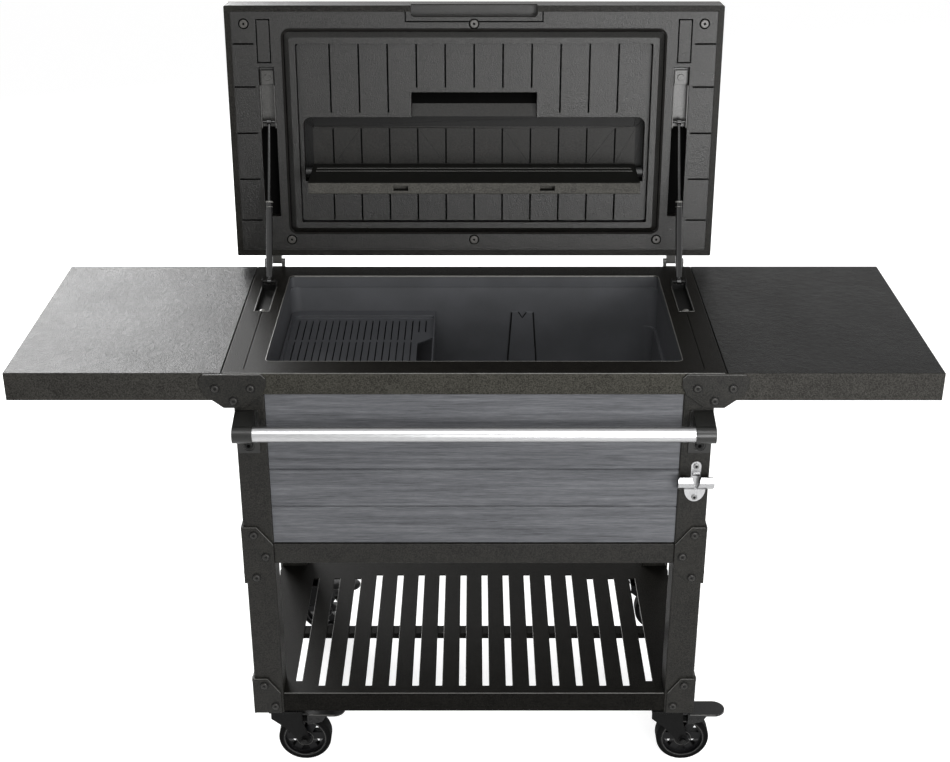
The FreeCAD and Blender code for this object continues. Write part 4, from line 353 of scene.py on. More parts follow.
def powder_coat(name, dark, light, roughness, grain, ior=1.5, front=None, wear_span=0.09, dents=0.0):
    """Fine textured paint, mottled and scuffed; faces that look forward may get their own lighter pair of shades,
    as painted light.
    """
    look = Look(name, dark, roughness, ior=ior)
    look.soft_edges(radius=0.0012)
    mottle = look.noise(scale=38, detail=6)
    speck = look.noise(scale=430, detail=3, rough=0.7)
    fine = look.mixed(0.85, mottle, speck)
    paint = look.ramp(fine, [(0.4, dark), (0.6, light)])
    # Painted light: faces that look forward take a lighter pair of shades, standing in for the light that falls on
    # the fronts.
    if front:
        forward = look.ramp(fine, [(0.4, front[0]), (0.6, front[1])])
        paint = look.mixed(look.facing((0, -1, 0)), paint, forward)
    look.colour(paint)
    wear = look.noise(scale=7, detail=5)
    both = look.mixed(0.5, wear, mottle)
    look.roughness(look.span(both, roughness - wear_span, roughness + wear_span))
    if dents:
        look.bump(look.noise(scale=75, detail=4, rough=0.6), distance=dents, strength=0.8)
    look.bump(speck, distance=grain, strength=0.8)
    return look


def plain_plastic(name, dark, light, roughness=0.5, ior=1.5):
    """Moulded plastic with a fine spark texture."""
    look = Look(name, dark, roughness, ior=ior)
    look.soft_edges(radius=0.001)
    cloud = look.noise(scale=14, detail=5)
    grains = look.noise(scale=1400, detail=2)
    look.colour(look.ramp(look.mixed(0.4, cloud, grains), [(0.35, dark), (0.7, light)]))
    look.roughness(look.span(cloud, roughness - 0.05, roughness + 0.06))
    look.bump(grains, distance=0.0001, strength=0.5)
    return look


def brushed_metal(name, colour, roughness, along=(1, 40, 40)):
    """Metal with fine drawn lines along one axis."""
    look = Look(name, colour, roughness, metallic=1.0)
    look.soft_edges(radius=0.0006)
    lines = look.noise(scale=60, stretch=along, detail=5)
    dark = scaled_colour(colour, 0.86)
    light = scaled_colour(colour, 1.12)
    look.colour(look.ramp(lines, [(0.35, dark), (0.65, light)]))
    look.roughness(look.span(lines, roughness - 0.06, roughness + 0.1))
    look.bump(lines, distance=0.00008, strength=0.4)
    return look


def plank_wood(name):
    """Grey boards with fine grain along their length."""
    look = Look(name, screen(92, 94, 97), roughness=0.62, ior=1.35)
    look.soft_edges(radius=0.0008)
    bands = look.noise(scale=9, stretch=(0.5, 0.5, 14), detail=4, rough=0.6)
    grain = look.noise(scale=24, stretch=(0.9, 0.9, 26), detail=9, rough=0.7)
    fibre = look.noise(scale=95, stretch=(0.5, 0.5, 22), detail=6, rough=0.75)
    streaks = look.mixed(0.45, grain, fibre)
    both = look.mixed(0.3, streaks, bands)
    look.colour(look.ramp(both, [
        (0.36, screen(36, 37, 39)), (0.45, screen(62, 63, 66)),
        (0.54, screen(81, 82, 85)), (0.66, screen(104, 105, 108)),
    ]))
    look.roughness(look.span(both, 0.52, 0.72))
    look.bump(both, distance=0.0007, strength=0.6)
    return look


def rubber(name, colour):
    """Dull rubber with a little dust."""
    look = Look(name, colour, roughness=0.78, ior=1.16)
    look.soft_edges(radius=0.0008)
    dust = look.noise(scale=45, detail=6)
    look.colour(look.ramp(dust, [(0.4, colour), (0.75, scaled_colour(colour, 1.7))]))
    look.roughness(look.span(dust, 0.68, 0.9))
    look.bump(look.noise(scale=700, detail=3), distance=0.00015, strength=0.5)
    return look


def foam_look(name):
    """Pale rigid foam with small cells."""
    look = Look(name, screen(214, 205, 178), roughness=0.9)
    cells = look.tree.nodes.new("ShaderNodeTexVoronoi")
    cells.inputs["Scale"].default_value = 420
    look.link(look.place, cells.inputs["Vector"])
    shades = [(0.1, screen(196, 186, 156)), (0.6, screen(222, 214, 190))]
    look.colour(look.ramp(cells.outputs["Distance"], shades))
    look.bump(cells.outputs["Distance"], distance=0.0004, strength=0.6)
    return look


# Looks of the frame's material slots
LOOKS = {
    "frame": powder_coat(
        "frame_paint", screen(6, 6, 5), screen(34, 33, 30), roughness=0.4, grain=0.0008, ior=1.26,
    ),
    # Painted light: the tables' forward faces get their own lighter pair of shades.
    "table_top": powder_coat(
        "table_paint_lit_front", screen(6, 6, 6), screen(26, 26, 25), roughness=0.36, grain=0.0008, ior=1.16,
        front=(screen(28, 27, 25), screen(54, 53, 50)), wear_span=0.14, dents=0.0011,
    ),
    "plank": plank_wood("grey_boards"),
    "liner": plain_plastic("tub_liner_plastic", screen(58, 59, 61), screen(70, 71, 74), ior=1.4),
    "foam": foam_look("rigid_foam"),
    "drain": plain_plastic("drain_plastic", screen(30, 30, 31), screen(40, 40, 42)),
    "tray": plain_plastic("tray_plastic", screen(50, 51, 54), screen(60, 61, 64)),
    "bolt": powder_coat(
        "bolt_paint", screen(16, 15, 14), screen(36, 35, 32), roughness=0.36, grain=0.0001, ior=1.36,
    ),
    "handle": brushed_metal("handle_aluminium", screen(168, 168, 169), roughness=0.3),
    "handle_bracket": powder_coat(
        "bracket_paint", screen(10, 10, 9), screen(22, 22, 20), roughness=0.34, grain=0.0001, ior=1.42,
    ),
    "screw": brushed_metal("plain_steel", screen(120, 120, 120), roughness=0.35),
    "opener": brushed_metal("opener_steel", screen(166, 166, 167), roughness=0.26, along=(40, 40, 1)),
    "wheel": plain_plastic("wheel_plastic", screen(5, 5, 6), screen(14, 14, 15), roughness=0.34, ior=1.24),
    "tyre": rubber("tyre_rubber", screen(5, 5, 5)),
    "pedal": powder_coat(
        "pedal_paint", screen(12, 12, 12), screen(28, 28, 28), roughness=0.34, grain=0.0002, ior=1.3,
    ),
    "caster_metal": powder_coat(
        "caster_paint", screen(3, 3, 3), screen(11, 11, 11), roughness=0.34, grain=0.0001, ior=1.18,
    ),
    "lid_shell": powder_coat(
        "lid_paint", screen(8, 7, 6), screen(34, 33, 30), roughness=0.36, grain=0.0008, ior=1.2,
    ),
    "lid_panel": powder_coat(
        "lid_panel_plastic", screen(5, 5, 4), screen(26, 25, 23), roughness=0.3, grain=0.0009, ior=1.4,
    ),
    "lid_screw": powder_coat(
        "dark_screw", screen(44, 43, 40), screen(62, 60, 57), roughness=0.36, grain=0.0001,
    ),
    "seal": rubber("seal_rubber", screen(18, 17, 16)),
    # Painted light: the lid shelf's forward face gets a much lighter pair of shades than its top.
    "lid_shelf": powder_coat(
        "lid_shelf_plastic_lit_front", screen(6, 6, 5), screen(22, 22, 20), roughness=0.4, grain=0.0004, ior=1.14,
        front=(screen(48, 47, 45), screen(74, 73, 69)),
    ),
    "shelf_end": plain_plastic("shelf_end_plastic", screen(12, 12, 12), screen(20, 20, 20)),
    "strut_tube": powder_coat(
        "strut_tube_paint", screen(6, 6, 6), screen(14, 14, 14), roughness=0.12, grain=0.00002,
    ),
    "strut_rod": powder_coat(
        "strut_rod_paint", screen(8, 8, 8), screen(16, 16, 16), roughness=0.16, grain=0.00002,
    ),
    "bracket": powder_coat(
        "strut_bracket_paint", screen(40, 40, 38), screen(64, 63, 61), roughness=0.36, grain=0.0001,
    ),
}

# Looks of single nodes and of the added pieces
# Painted light and shade: the deck's top is darker than the frame paint, and its forward faces get their own
# lighter pair of shades.
DECK_PAINT_SHADED_TOP_LIT_FRONT = powder_coat(
    "deck_paint_shaded_top_lit_front", screen(7, 6, 6), screen(26, 25, 22), roughness=0.42, grain=0.0006, ior=1.1,
    front=(screen(32, 31, 28), screen(60, 59, 54)),
)
# Painted shade: a darker copy of the frame paint for the lower shelf and its rails.
SHADED_SHELF_PAINT = powder_coat(
    "shaded_shelf_paint", screen(5, 5, 4), screen(24, 23, 21), roughness=0.42, grain=0.0006, ior=1.1,
)
# Painted light: a lighter grey sheet laid over the dark inner walls of the deck's opening.
RIM_LIGHT_BAND = plain_plastic("rim_band_painted_light", screen(50, 51, 53), screen(62, 63, 66), ior=1.4)
RECESS_SHADE = powder_coat(
    "recess_shade", screen(10, 10, 9), screen(30, 29, 27), roughness=0.5, grain=0.0003, ior=1.3,
)
# Dark paint of real fittings, and also painted shade on the recess floor, the pilaster's sides and the bolt
# sockets.
DARK_FITTING_AND_SHADE = powder_coat(
    "dark_fitting_and_painted_shade", screen(8, 8, 8), screen(15, 15, 14), roughness=0.5, grain=0.00008, ior=1.25,
)
# Painted shade: near-black for sockets, gaps and grooves, where there is only shade.
SHADE_BLACK = plain_plastic("painted_shade_black", screen(2, 2, 2), screen(6, 6, 6), roughness=0.85, ior=1.1)
# Painted highlights: light colours for thin beads and rings that stand in for edges catching the light.
BRIGHT_HIGHLIGHT = powder_coat(
    "bright_painted_highlight", screen(84, 83, 80), screen(108, 107, 103), roughness=0.34, grain=0.00006,
)
SOFT_HIGHLIGHT = powder_coat(
    "soft_painted_highlight", screen(56, 56, 53), screen(78, 77, 74), roughness=0.4, grain=0.00006,
)
NODE_LOOKS = {
    "deck_frame": DECK_PAINT_SHADED_TOP_LIT_FRONT,
    "shelf_panel": SHADED_SHELF_PAINT,
    "shelf_rails": SHADED_SHELF_PAINT,
    "handle_screws": DARK_FITTING_AND_SHADE,
    "strut_lower_brackets": DARK_FITTING_AND_SHADE,
}


def dress_nodes():
    """Gives every node of the frame its own look, or else that of its slot."""
    for entry in frame["record"]["subparts"]:
        mesh = nodes[entry["node"]].data
        mesh.materials.clear()
        look = NODE_LOOKS.get(entry["node"], LOOKS[entry["material_slot"]])
        mesh.materials.append(look.material)


# Making and measuring pieces

def circle(across, up, steps):
    """Directions round a full turn, from the first direction past the second."""
    angles = [2 * math.pi * step / steps for step in range(steps)]
    return [across * math.cos(angle) + up * math.sin(angle) for angle in angles]


class Piece:
    """Collects the points and faces of one small fitting."""

    def __init__(self, name, body, look):
        self.name = name
        self.body = body
        self.look = look
        self.points = []
        self.faces = []

    def patch(self, corners):
        """One flat face."""
        start = len(self.points)
        self.points.extend(corners)
        self.faces.append(tuple(range(start, start + len(corners))))

    def join(self, rows, closed):
        """Joins rows of points, each row closed on itself, with four-sided faces."""
        start = len(self.points)
        count = len(rows[0])
        for row in rows:
            self.points.extend(row)
        last = len(rows) if closed else len(rows) - 1
        for first in range(last):
            second = (first + 1) % len(rows)
            for step in range(count):
                after = (step + 1) % count
                self.faces.append((
                    start + first * count + step, start + first * count + after,
                    start + second * count + after, start + second * count + step,
                ))
        if not closed:
            self.faces.append(tuple(start + step for step in range(count)))
            self.faces.append(tuple(start + last * count + step for step in reversed(range(count))))

    def lathe(self, outline, place, axis, steps=32):
        """Turns a closed outline of (radius, height) about an axis through a place."""
        axis = Vector(axis).normalized()
        across = axis.orthogonal().normalized()
        turns = circle(across, axis.cross(across), steps)
        rows = []
        for radius, height in outline:
            rows.append([place + axis * height + turn * radius for turn in turns])
        self.join(rows, True)

    def sweep(self, path, radius, closed=True, steps=10):
        """A round bead along a path."""
        rows = []
        for index, point in enumerate(path):
            before = path[index - 1] if closed or index else point
            after = path[(index + 1) % len(path)] if closed or index + 1 < len(path) else point
            along = (after - before).normalized()
            across = along.cross(Vector((0, 0, 1)))
            if across.length < UPRIGHT:
                across = along.cross(Vector((1, 0, 0)))
            across.normalize()
            turns = circle(across, across.cross(along), steps)
            rows.append([point + turn * radius for turn in turns])
        self.join(rows, closed)

    def bar(self, start, finish, radius, steps=10):
        """A straight round bead."""
        self.sweep([start, finish], radius, False, steps)

    def crossbar(self, start_x, finish_x, y, z, radius):
        """A straight round bead from side to side."""
        self.bar(Vector((start_x, y, z)), Vector((finish_x, y, z)), radius)

    def done(self):
        """Makes the mesh and its object, which rides on the piece's body."""
        mesh = bpy.data.meshes.new(self.name)
        mesh.from_pydata([tuple(point) for point in self.points], [], self.faces)
        shape = bmesh.new()
        shape.from_mesh(mesh)
        bmesh.ops.recalc_face_normals(shape, faces=shape.faces)
        for face in shape.faces:
            face.smooth = True
        for edge in shape.edges:
            if len(edge.link_faces) == 2 and edge.calc_face_angle() > SHARP_BEND:
                edge.smooth = False
        shape.to_mesh(mesh)
        shape.free()
        mesh.materials.append(self.look.material)
        item = bpy.data.objects.new(self.name, mesh)
        bpy.context.scene.collection.objects.link(item)
        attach(item, self.body)


def joined_shape(node):
    """A node's mesh with its double points joined; whoever asks for it frees it."""
    shape = bmesh.new()
    shape.from_mesh(nodes[node].data)
    bmesh.ops.remove_doubles(shape, verts=shape.verts, dist=SAME_POINT)
    return shape


def solids_of(node):
    """The points of each separate solid in a node."""
    shape = joined_shape(node)
    seen = set()
    solids = []
    for start in shape.verts:
        if start in seen:
            continue
        seen.add(start)
        waiting = [start]
        points = []
        while waiting:
            vert = waiting.pop()
            points.append(vert.co.copy())
            for edge in vert.link_edges:
                other = edge.other_vert(vert)
                if other not in seen:
                    seen.add(other)
                    waiting.append(other)
        solids.append(points)
    shape.free()
    return solids


def middle(points):
    """Centre of the box round some points."""
    return Vector([
        (min(point[axis] for point in points) + max(point[axis] for point in points)) / 2
        for axis in range(3)
    ])


def span_of(points, axis):
    """Width of some points along one axis."""
    values = [point[axis] for point in points]
    return max(values) - min(values)


def face_place(points, centre, axis):
    """The point straight out from the centre, level with the outermost point along the axis."""
    reach = max((point - centre).dot(axis) for point in points)
    return centre + axis * reach


def head_axis(points):
    """Outward direction of a flat head: along its thinnest side, away from the middle."""
    spans = [span_of(points, axis) for axis in range(3)]
    axis = spans.index(min(spans))
    direction = Vector((0, 0, 0))
    direction[axis] = 1 if middle(points)[axis] > 0 else -1
    return direction


def ring_outline(ring, radius=0.0):
    """The outline of a flat ring past a radius, with its upper edges taken off."""
    inner, outer, height, bevel = ring
    inner += radius
    outer += radius
    return [
        (inner, 0), (outer, 0), (outer, height - bevel), (outer - bevel, height),
        (inner + bevel, height), (inner, height - bevel),
    ]


def rounded_path(low_x, high_x, low_y, high_y, z, radius):
    """Points round a rectangle with round corners, all at one height."""
    path = []
    corners = ((high_x, high_y, 0), (low_x, high_y, 90), (low_x, low_y, 180), (high_x, low_y, 270))
    for x, y, start in corners:
        centre_x = x - radius if x == high_x else x + radius
        centre_y = y - radius if y == high_y else y + radius
        for step in range(CORNER_STEPS + 1):
            angle = math.radians(start + 90 * step / CORNER_STEPS)
            place_x = centre_x + radius * math.cos(angle)
            place_y = centre_y + radius * math.sin(angle)
            path.append(Vector((place_x, place_y, z)))
    return path


# Bolts, screws and plates

def add_bolt_details():
    """A dark washer round each corner bolt, and a flat dark hexagon of painted shade for the socket in its head.
    """
    washers = Piece("bolt_washers", "frame", DARK_FITTING_AND_SHADE)
    sockets = Piece("bolt_sockets", "frame", DARK_FITTING_AND_SHADE)
    for points in solids_of("corner_bolts"):
        centre = middle(points)
        axis = head_axis(points)
        top = face_place(points, centre, axis)
        base = face_place(points, centre, -axis)
        radius = max(span_of(points, side) for side in range(3)) / 2
        washers.lathe(ring_outline(BOLT_WASHER, radius), base, axis)
        sockets.lathe(ring_outline(BOLT_SOCKET), top - axis * BOLT_SOCKET_SUNK, axis, HEXAGON)
    washers.done()
    sockets.done()


def add_plate_lines():
    """A painted highlight along the upper edges of the front corner plates."""
    shape = joined_shape("corner_plates")
    lines = Piece("plate_edge_highlights", "frame", SOFT_HIGHLIGHT)
    for edge in shape.edges:
        fronts = [face for face in edge.link_faces if face.normal.y < -LOOKS_STRAIGHT]
        others = [face for face in edge.link_faces if face.normal.y >= -LOOKS_STRAIGHT]
        if len(fronts) != 1 or len(others) != 1:
            continue
        start, finish = [vert.co.copy() for vert in edge.verts]
        if others[0].normal.z > PLATE_RISE and others[0].normal.y < 0 and start.y < 0:
            lines.bar(start, finish, PLATE_LINE_RADIUS, PLATE_LINE_STEPS)
    shape.free()
    lines.done()


def add_screw_details():
    """Flat black hexagons of painted shade for the sockets in the screws of the handle and the opener."""
    axis = Vector((0, -1, 0))
    for name, node, socket in (
        ("handle_sockets", "handle_screws", HANDLE_SOCKET),
        ("opener_sockets", "opener_screws", OPENER_SOCKET),
    ):
        sockets = Piece(name, "frame", SHADE_BLACK)
        for points in solids_of(node):
            top = face_place(points, middle(points), axis)
            sockets.lathe(ring_outline(socket), top - axis * SCREW_SOCKET_SUNK, axis, HEXAGON)
        sockets.done()


# Lid

def add_lid_screw_details():
    """A ring of painted shade round each lid screw, and a black hexagon of painted shade for the socket in its
    head.
    """
    rings = Piece("lid_screw_rings", "lid", SHADE_BLACK)
    sockets = Piece("lid_screw_sockets", "lid", SHADE_BLACK)
    for points in solids_of("lid_screws"):
        centre = middle(points)
        base = centre + LID_OUT * (PANEL_FACE - centre.dot(LID_OUT))
        rings.lathe(ring_outline(LID_SCREW_RING, span_of(points, 0) / 2), base, LID_OUT)
        top = face_place(points, centre, LID_OUT) - LID_OUT * SCREW_SOCKET_SUNK
        sockets.lathe(ring_outline(LID_SCREW_SOCKET), top, LID_OUT, HEXAGON)
    rings.done()
    sockets.done()


def lid_faces(low, high):
    """Faces of the inner lid panel that look straight out, between two depths from its face."""
    mesh = nodes["lid_inner_panel"].data
    chosen = []
    for face in mesh.polygons:
        depth = PANEL_FACE - face.center.dot(LID_OUT)
        if face.normal.dot(LID_OUT) > LOOKS_STRAIGHT and low < depth < high:
            chosen.append([mesh.vertices[index].co.copy() for index in face.vertices])
    return chosen


def add_painted_shade_skins():
    """Painted shade: dark skins on the floors of the grooves and the recess of the lid panel and of the finger
    notch.
    """
    for name, (low, high, lift), look in (
        ("panel_groove_shade", GROOVE_FLOOR, SHADE_BLACK),
        ("notch_shade_strip", NOTCH_FLOOR, SHADE_BLACK),
        ("strut_groove_shade", STRUT_GROOVE_FLOOR, SHADE_BLACK),
        ("pad_groove_shade", PAD_GROOVE_FLOOR, SHADE_BLACK),
        ("recess_shade_strip", RECESS_FLOOR, DARK_FITTING_AND_SHADE),
        ("recess_pad_shade", RECESS_PAD, RECESS_SHADE),
    ):
        inlay = Piece(name, "lid", look)
        for corners in lid_faces(low, high):
            inlay.patch([corner + LID_OUT * lift for corner in corners])
        inlay.done()


def add_notch_shade():
    """Painted shade: a darker skin on the sloping sides of the finger notch."""
    mesh = nodes["lid_inner_panel"].data
    skin = Piece("notch_shade", "lid", RECESS_SHADE)
    low, high = NOTCH_HEIGHTS
    for face in mesh.polygons:
        depth = PANEL_FACE - face.center.dot(LID_OUT)
        inside = abs(face.center.x) < NOTCH_HALF and low < face.center.dot(LID_UP) < high
        if inside and depth > NOTCH_LEAST_DEPTH and face.normal.z > NOTCH_LEAST_RISE:
            lift = face.normal * NOTCH_SKIN_LIFT
            skin.patch([mesh.vertices[index].co + lift for index in face.vertices])
    skin.done()


def lid_place(x, height, out):
    """A point on the open lid: across, up along the lid, and out from its own zero plane."""
    return Vector((x, 0, 0)) + LID_UP * height + LID_OUT * out


def add_bead_lines():
    """Painted shadow: dark lines at the inner and outer foot of the raised frame."""
    band = [corner for corners in lid_faces(*BEAD_TOP_DEPTHS) for corner in corners]
    reach = max(point.x for point in band)
    low = min(point.dot(LID_UP) for point in band)
    high = max(point.dot(LID_UP) for point in band)
    lines = Piece("bead_frame_shadow_lines", "lid", SHADE_BLACK)
    for grow, radius in ((-BEAD_BAND, BEAD_INNER_RADIUS), (BEAD_SLOPE, BEAD_OUTER_RADIUS)):
        flat = rounded_path(-reach - grow, reach + grow, low - grow, high + grow, 0, BEAD_CORNER)
        lines.sweep([lid_place(point.x, point.y, PANEL_FACE) for point in flat], radius)
    lines.done()


def add_shelf_ridges():
    """Two ridges along the rear of the small shelf in the lid, light-coloured as painted highlights."""
    low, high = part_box("lid_shelf")
    ridges = Piece("lid_shelf_ridge_highlights", "lid_shelf", SOFT_HIGHLIGHT)
    start_x = low.x + SHELF_RIDGE_INSET
    finish_x = high.x - SHELF_RIDGE_INSET
    for y in SHELF_RIDGES_Y:
        ridges.crossbar(start_x, finish_x, y, high.z, SHELF_RIDGE_RADIUS)
    ridges.done()


# Deck, lower shelf and struts

def add_front_edges():
    """Thin rolled edges along the front of the deck and of the lower shelf, light-coloured as painted highlights.
    """
    deck_low, deck_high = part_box("deck_frame")
    shelf_low, shelf_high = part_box("shelf_panel")
    deck_reach = deck_high.x - DECK_EDGE_INSET
    deck_y = deck_low.y + DECK_EDGE_RADIUS
    deck_z = deck_high.z - DECK_EDGE_DROP
    shelf_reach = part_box("post_front_right")[0].x - SHELF_EDGE_INSET
    shelf_y = shelf_low.y + SHELF_EDGE_BACK
    fronts = Piece("front_edge_highlights", "frame", SOFT_HIGHLIGHT)
    fronts.crossbar(-deck_reach, deck_reach, deck_y, deck_z, DECK_EDGE_RADIUS)
    fronts.crossbar(-shelf_reach, shelf_reach, shelf_y, shelf_high.z, SHELF_EDGE_RADIUS)
    fronts.done()


def add_slot_edges():
    """A thin rolled edge along one side of each slot in the lower shelf, light-coloured as a painted highlight."""
    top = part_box("shelf_panel")[1].z
    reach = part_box("post_front_right")[0].x - SLOT_FROM_POST
    mesh = nodes["shelf_panel"].data
    walls = {}
    for face in mesh.polygons:
        if face.normal.x < -LOOKS_STRAIGHT and abs(face.center.x) < reach:
            wall = walls.setdefault(round(face.center.x, 4), [])
            wall.extend(mesh.vertices[index].co.y for index in face.vertices)
    slots = Piece("slot_edge_highlights", "frame", SOFT_HIGHLIGHT)
    for wall_x, depths in walls.items():
        x = wall_x + SLOT_EDGE_OUT
        slots.bar(Vector((x, min(depths), top)), Vector((x, max(depths), top)), SLOT_EDGE_RADIUS)
    slots.done()


def add_channel_edges():
    """A rolled edge along each strut channel and a stud at its front end, both light-coloured as painted
    highlights.
    """
    low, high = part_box("strut_lower_brackets")
    edges = Piece("channel_edge_highlights", "frame", SOFT_HIGHLIGHT)
    studs = Piece("channel_studs", "frame", BRIGHT_HIGHLIGHT)
    inner = high.x - CHANNEL_SPAN
    rear = high.y - CHANNEL_REAR
    for side in (-1, 1):
        for x in (side * high.x, side * inner):
            edges.bar(Vector((x, low.y, TOP_Z)), Vector((x, rear, TOP_Z)), CHANNEL_EDGE_RADIUS)
        edges.crossbar(side * inner, side * high.x, low.y, TOP_Z, CHANNEL_EDGE_RADIUS)
        centre_x = side * (inner + high.x) / 2
        centre = Vector((centre_x, low.y + STUD_FROM_FRONT, low.z + STUD_FROM_FLOOR))
        studs.lathe(STUD_OUTLINE, centre, (0, 0, 1))
    edges.done()
    studs.done()


def joint_called(name):
    return [joint for joint in frame["joints"] if joint["name"] == name][0]


def add_strut_glands():
    """The rolled end and the groove ring of each strut tube, light-coloured as painted highlights."""
    for side in ("left", "right"):
        node = "strut_tube_" + side
        points = [vert.co for vert in nodes[node].data.vertices]
        axis = Vector(joint_called("strut_slide_" + side)["axis"]).normalized()
        pivot = Vector(joint_called("strut_pivot_" + side)["pos_m"])
        end = face_place(points, pivot, axis)
        radius = span_of(points, 0) / 2
        gland = Piece("strut_gland_" + side, node, BRIGHT_HIGHLIGHT)
        gland.lathe(ring_outline(STRUT_END_RING, radius), end - axis * STRUT_END_BACK, axis)
        gland.lathe(ring_outline(STRUT_GROOVE_RING, radius), end - axis * STRUT_GROOVE_BACK, axis)
        gland.done()


# Tub

def tub_opening():
    """Lowest and highest x, then lowest and highest y, of the deck's opening over the tub."""
    low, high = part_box("tub_liner")
    return low.x + RIM_INSET, high.x - RIM_INSET, low.y + RIM_INSET, high.y - RIM_INSET


def add_tub_edge():
    """Painted highlights: a thin light bead round the deck's opening, and a bright line along its rear side."""
    edge = tub_opening()
    bead = Piece("tub_edge_highlight", "frame", SOFT_HIGHLIGHT)
    bead.sweep(rounded_path(*edge, TOP_Z - RIM_BEAD_DROP, RIM_CORNER), RIM_BEAD_RADIUS)
    bead.done()
    reach = edge[1] - RIM_CORNER
    y = edge[3] - REAR_LINE_FORWARD
    line = Piece("rear_rim_highlight", "frame", BRIGHT_HIGHLIGHT)
    line.crossbar(-reach, reach, y, TOP_Z - REAR_LINE_DROP, REAR_LINE_RADIUS)
    line.done()


def add_rim_band():
    """Painted light: a lighter grey band round the dark walls of the deck's opening, down to the top of the liner.
    """
    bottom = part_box("tub_liner")[1].z
    top = TOP_Z - RIM_BAND_TOP
    near, far = RIM_BAND_DEPTHS
    path = rounded_path(*tub_opening(), 0, RIM_CORNER)
    rows = []
    for index, point in enumerate(path):
        along = path[(index + 1) % len(path)] - path[index - 1]
        inward = Vector((-along.y, along.x, 0)).normalized()
        rows.append([
            point + inward * depth + Vector((0, 0, height))
            for depth, height in ((near, top), (far, top), (far, bottom), (near, bottom))
        ])
    band = Piece("rim_band", "frame", RIM_LIGHT_BAND)
    band.join(rows, True)
    band.done()


def add_pilaster_lines():
    """Dark lines of painted shade at the two sides of the pilaster in the tub, and a dark V-shaped line at its
    head.
    """
    mesh = nodes["tub_liner"].data
    forward = [face for face in mesh.polygons if face.normal.y < -LOOKS_STRAIGHT and face.center.y > 0]
    wall_y = max(forward, key=lambda face: face.area).center.y
    least, most = PILASTER_PROUD
    points = [
        mesh.vertices[index].co.copy() for face in forward for index in face.vertices
        if least < wall_y - face.center.y < most
    ]
    points.sort(key=lambda point: point.x)
    low = min(point.z for point in points) + PILASTER_LEVEL
    high = max(point.z for point in points) - PILASTER_LEVEL
    foot = [point for point in points if point.z < low]
    head = [point for point in points if point.z > high]
    tip = [point for point in points if low < point.z < high][0]
    lines = Piece("pilaster_lines", "frame", DARK_FITTING_AND_SHADE)
    for end in (0, -1):
        lines.bar(foot[end], head[end], PILASTER_LINE_RADIUS)
    reach = Vector((tip.x - head[0].x, 0, 0)) * HEAD_LINE_SHARE
    top = Vector((tip.x, tip.y, high + PILASTER_LEVEL))
    lines.sweep([top - reach, tip, top + reach], HEAD_LINE_RADIUS, False)
    lines.done()


def add_drain_strainer():
    """Rings and spokes over the drain in the tub floor."""
    low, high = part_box("drain_outlet")
    centre = Vector(((low.x + high.x) / 2, (low.y + high.y) / 2, high.z))
    strainer = Piece("drain_strainer", "frame", LOOKS["drain"])
    base = centre - Vector((0, 0, STRAINER_DROP))
    for radius in STRAINER_RADII:
        strainer.lathe(ring_outline(STRAINER_RING, radius), base, (0, 0, 1), STRAINER_STEPS)
    hub = centre - Vector((0, 0, SPOKE_DROP))
    for outward in circle(Vector((1, 0, 0)), Vector((0, 1, 0)), SPOKES):
        strainer.bar(hub + outward * SPOKE_START, hub + outward * STRAINER_RADII[-1], SPOKE_RADIUS)
    strainer.done()


# Casters

def add_axle_nuts(corner):
    """A hexagon nut on each end of the axle, with the axle's tip in it."""
    fork_low, fork_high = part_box("caster_fork_" + corner)
    tyre_low, tyre_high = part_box("caster_tyre_" + corner)
    nuts = Piece("caster_nuts_" + corner, "fork_" + corner, DARK_FITTING_AND_SHADE)
    for side, y in ((-1, fork_low.y), (1, fork_high.y)):
        axis = Vector((0, side, 0))
        place = Vector(((tyre_low.x + tyre_high.x) / 2, y, (tyre_low.z + tyre_high.z) / 2))
        base = place - axis * NUT_SUNK
        nuts.lathe(ring_outline(AXLE_NUT), base, axis, HEXAGON)
        nuts.lathe(ring_outline(AXLE_TIP), base, axis, AXLE_TIP_STEPS)
    nuts.done()


def add_wheel_rings(name, corner, look, ring, radii, sunk, steps):
    """Thin rings about the axle on both side walls of a wheel."""
    low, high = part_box("caster_tyre_" + corner)
    rings = Piece(name + "_" + corner, "wheel_" + corner, look)
    for side, y in ((-1, low.y), (1, high.y)):
        axis = Vector((0, side, 0))
        base = Vector(((low.x + high.x) / 2, y, (low.z + high.z) / 2)) - axis * sunk
        for radius in radii:
            rings.lathe(ring_outline(ring, radius), base, axis, steps)
    rings.done()


def add_pedal_lip(corner):
    """A lip along the front of the brake pedal, light-coloured as a painted highlight."""
    low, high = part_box("caster_pedal_" + corner)
    start_x = low.x + PEDAL_LIP_INSETS[0]
    finish_x = high.x - PEDAL_LIP_INSETS[1]
    lip = Piece("pedal_lip_" + corner, "pedal_" + corner, SOFT_HIGHLIGHT)
    lip.crossbar(start_x, finish_x, low.y + PEDAL_LIP_BACK, high.z - PEDAL_LIP_DROP, PEDAL_LIP_RADIUS)
    lip.done()


def add_caster_details():
    """Axle nuts, ribs on the tyres, and painted highlight lines on the wheels and lips on the pedals."""
    for corner in CASTER_CORNERS:
        add_axle_nuts(corner)
        add_wheel_rings("tyre_ribs", corner, LOOKS["tyre"], TYRE_RIB, TYRE_RIB_RADII, RIB_SUNK,
                        TYRE_RIB_STEPS)
        add_wheel_rings("wheel_line_highlights", corner, SOFT_HIGHLIGHT, WHEEL_LINE, WHEEL_LINE_RADII,
                        WHEEL_LINE_SUNK, WHEEL_LINE_STEPS)
        add_pedal_lip(corner)


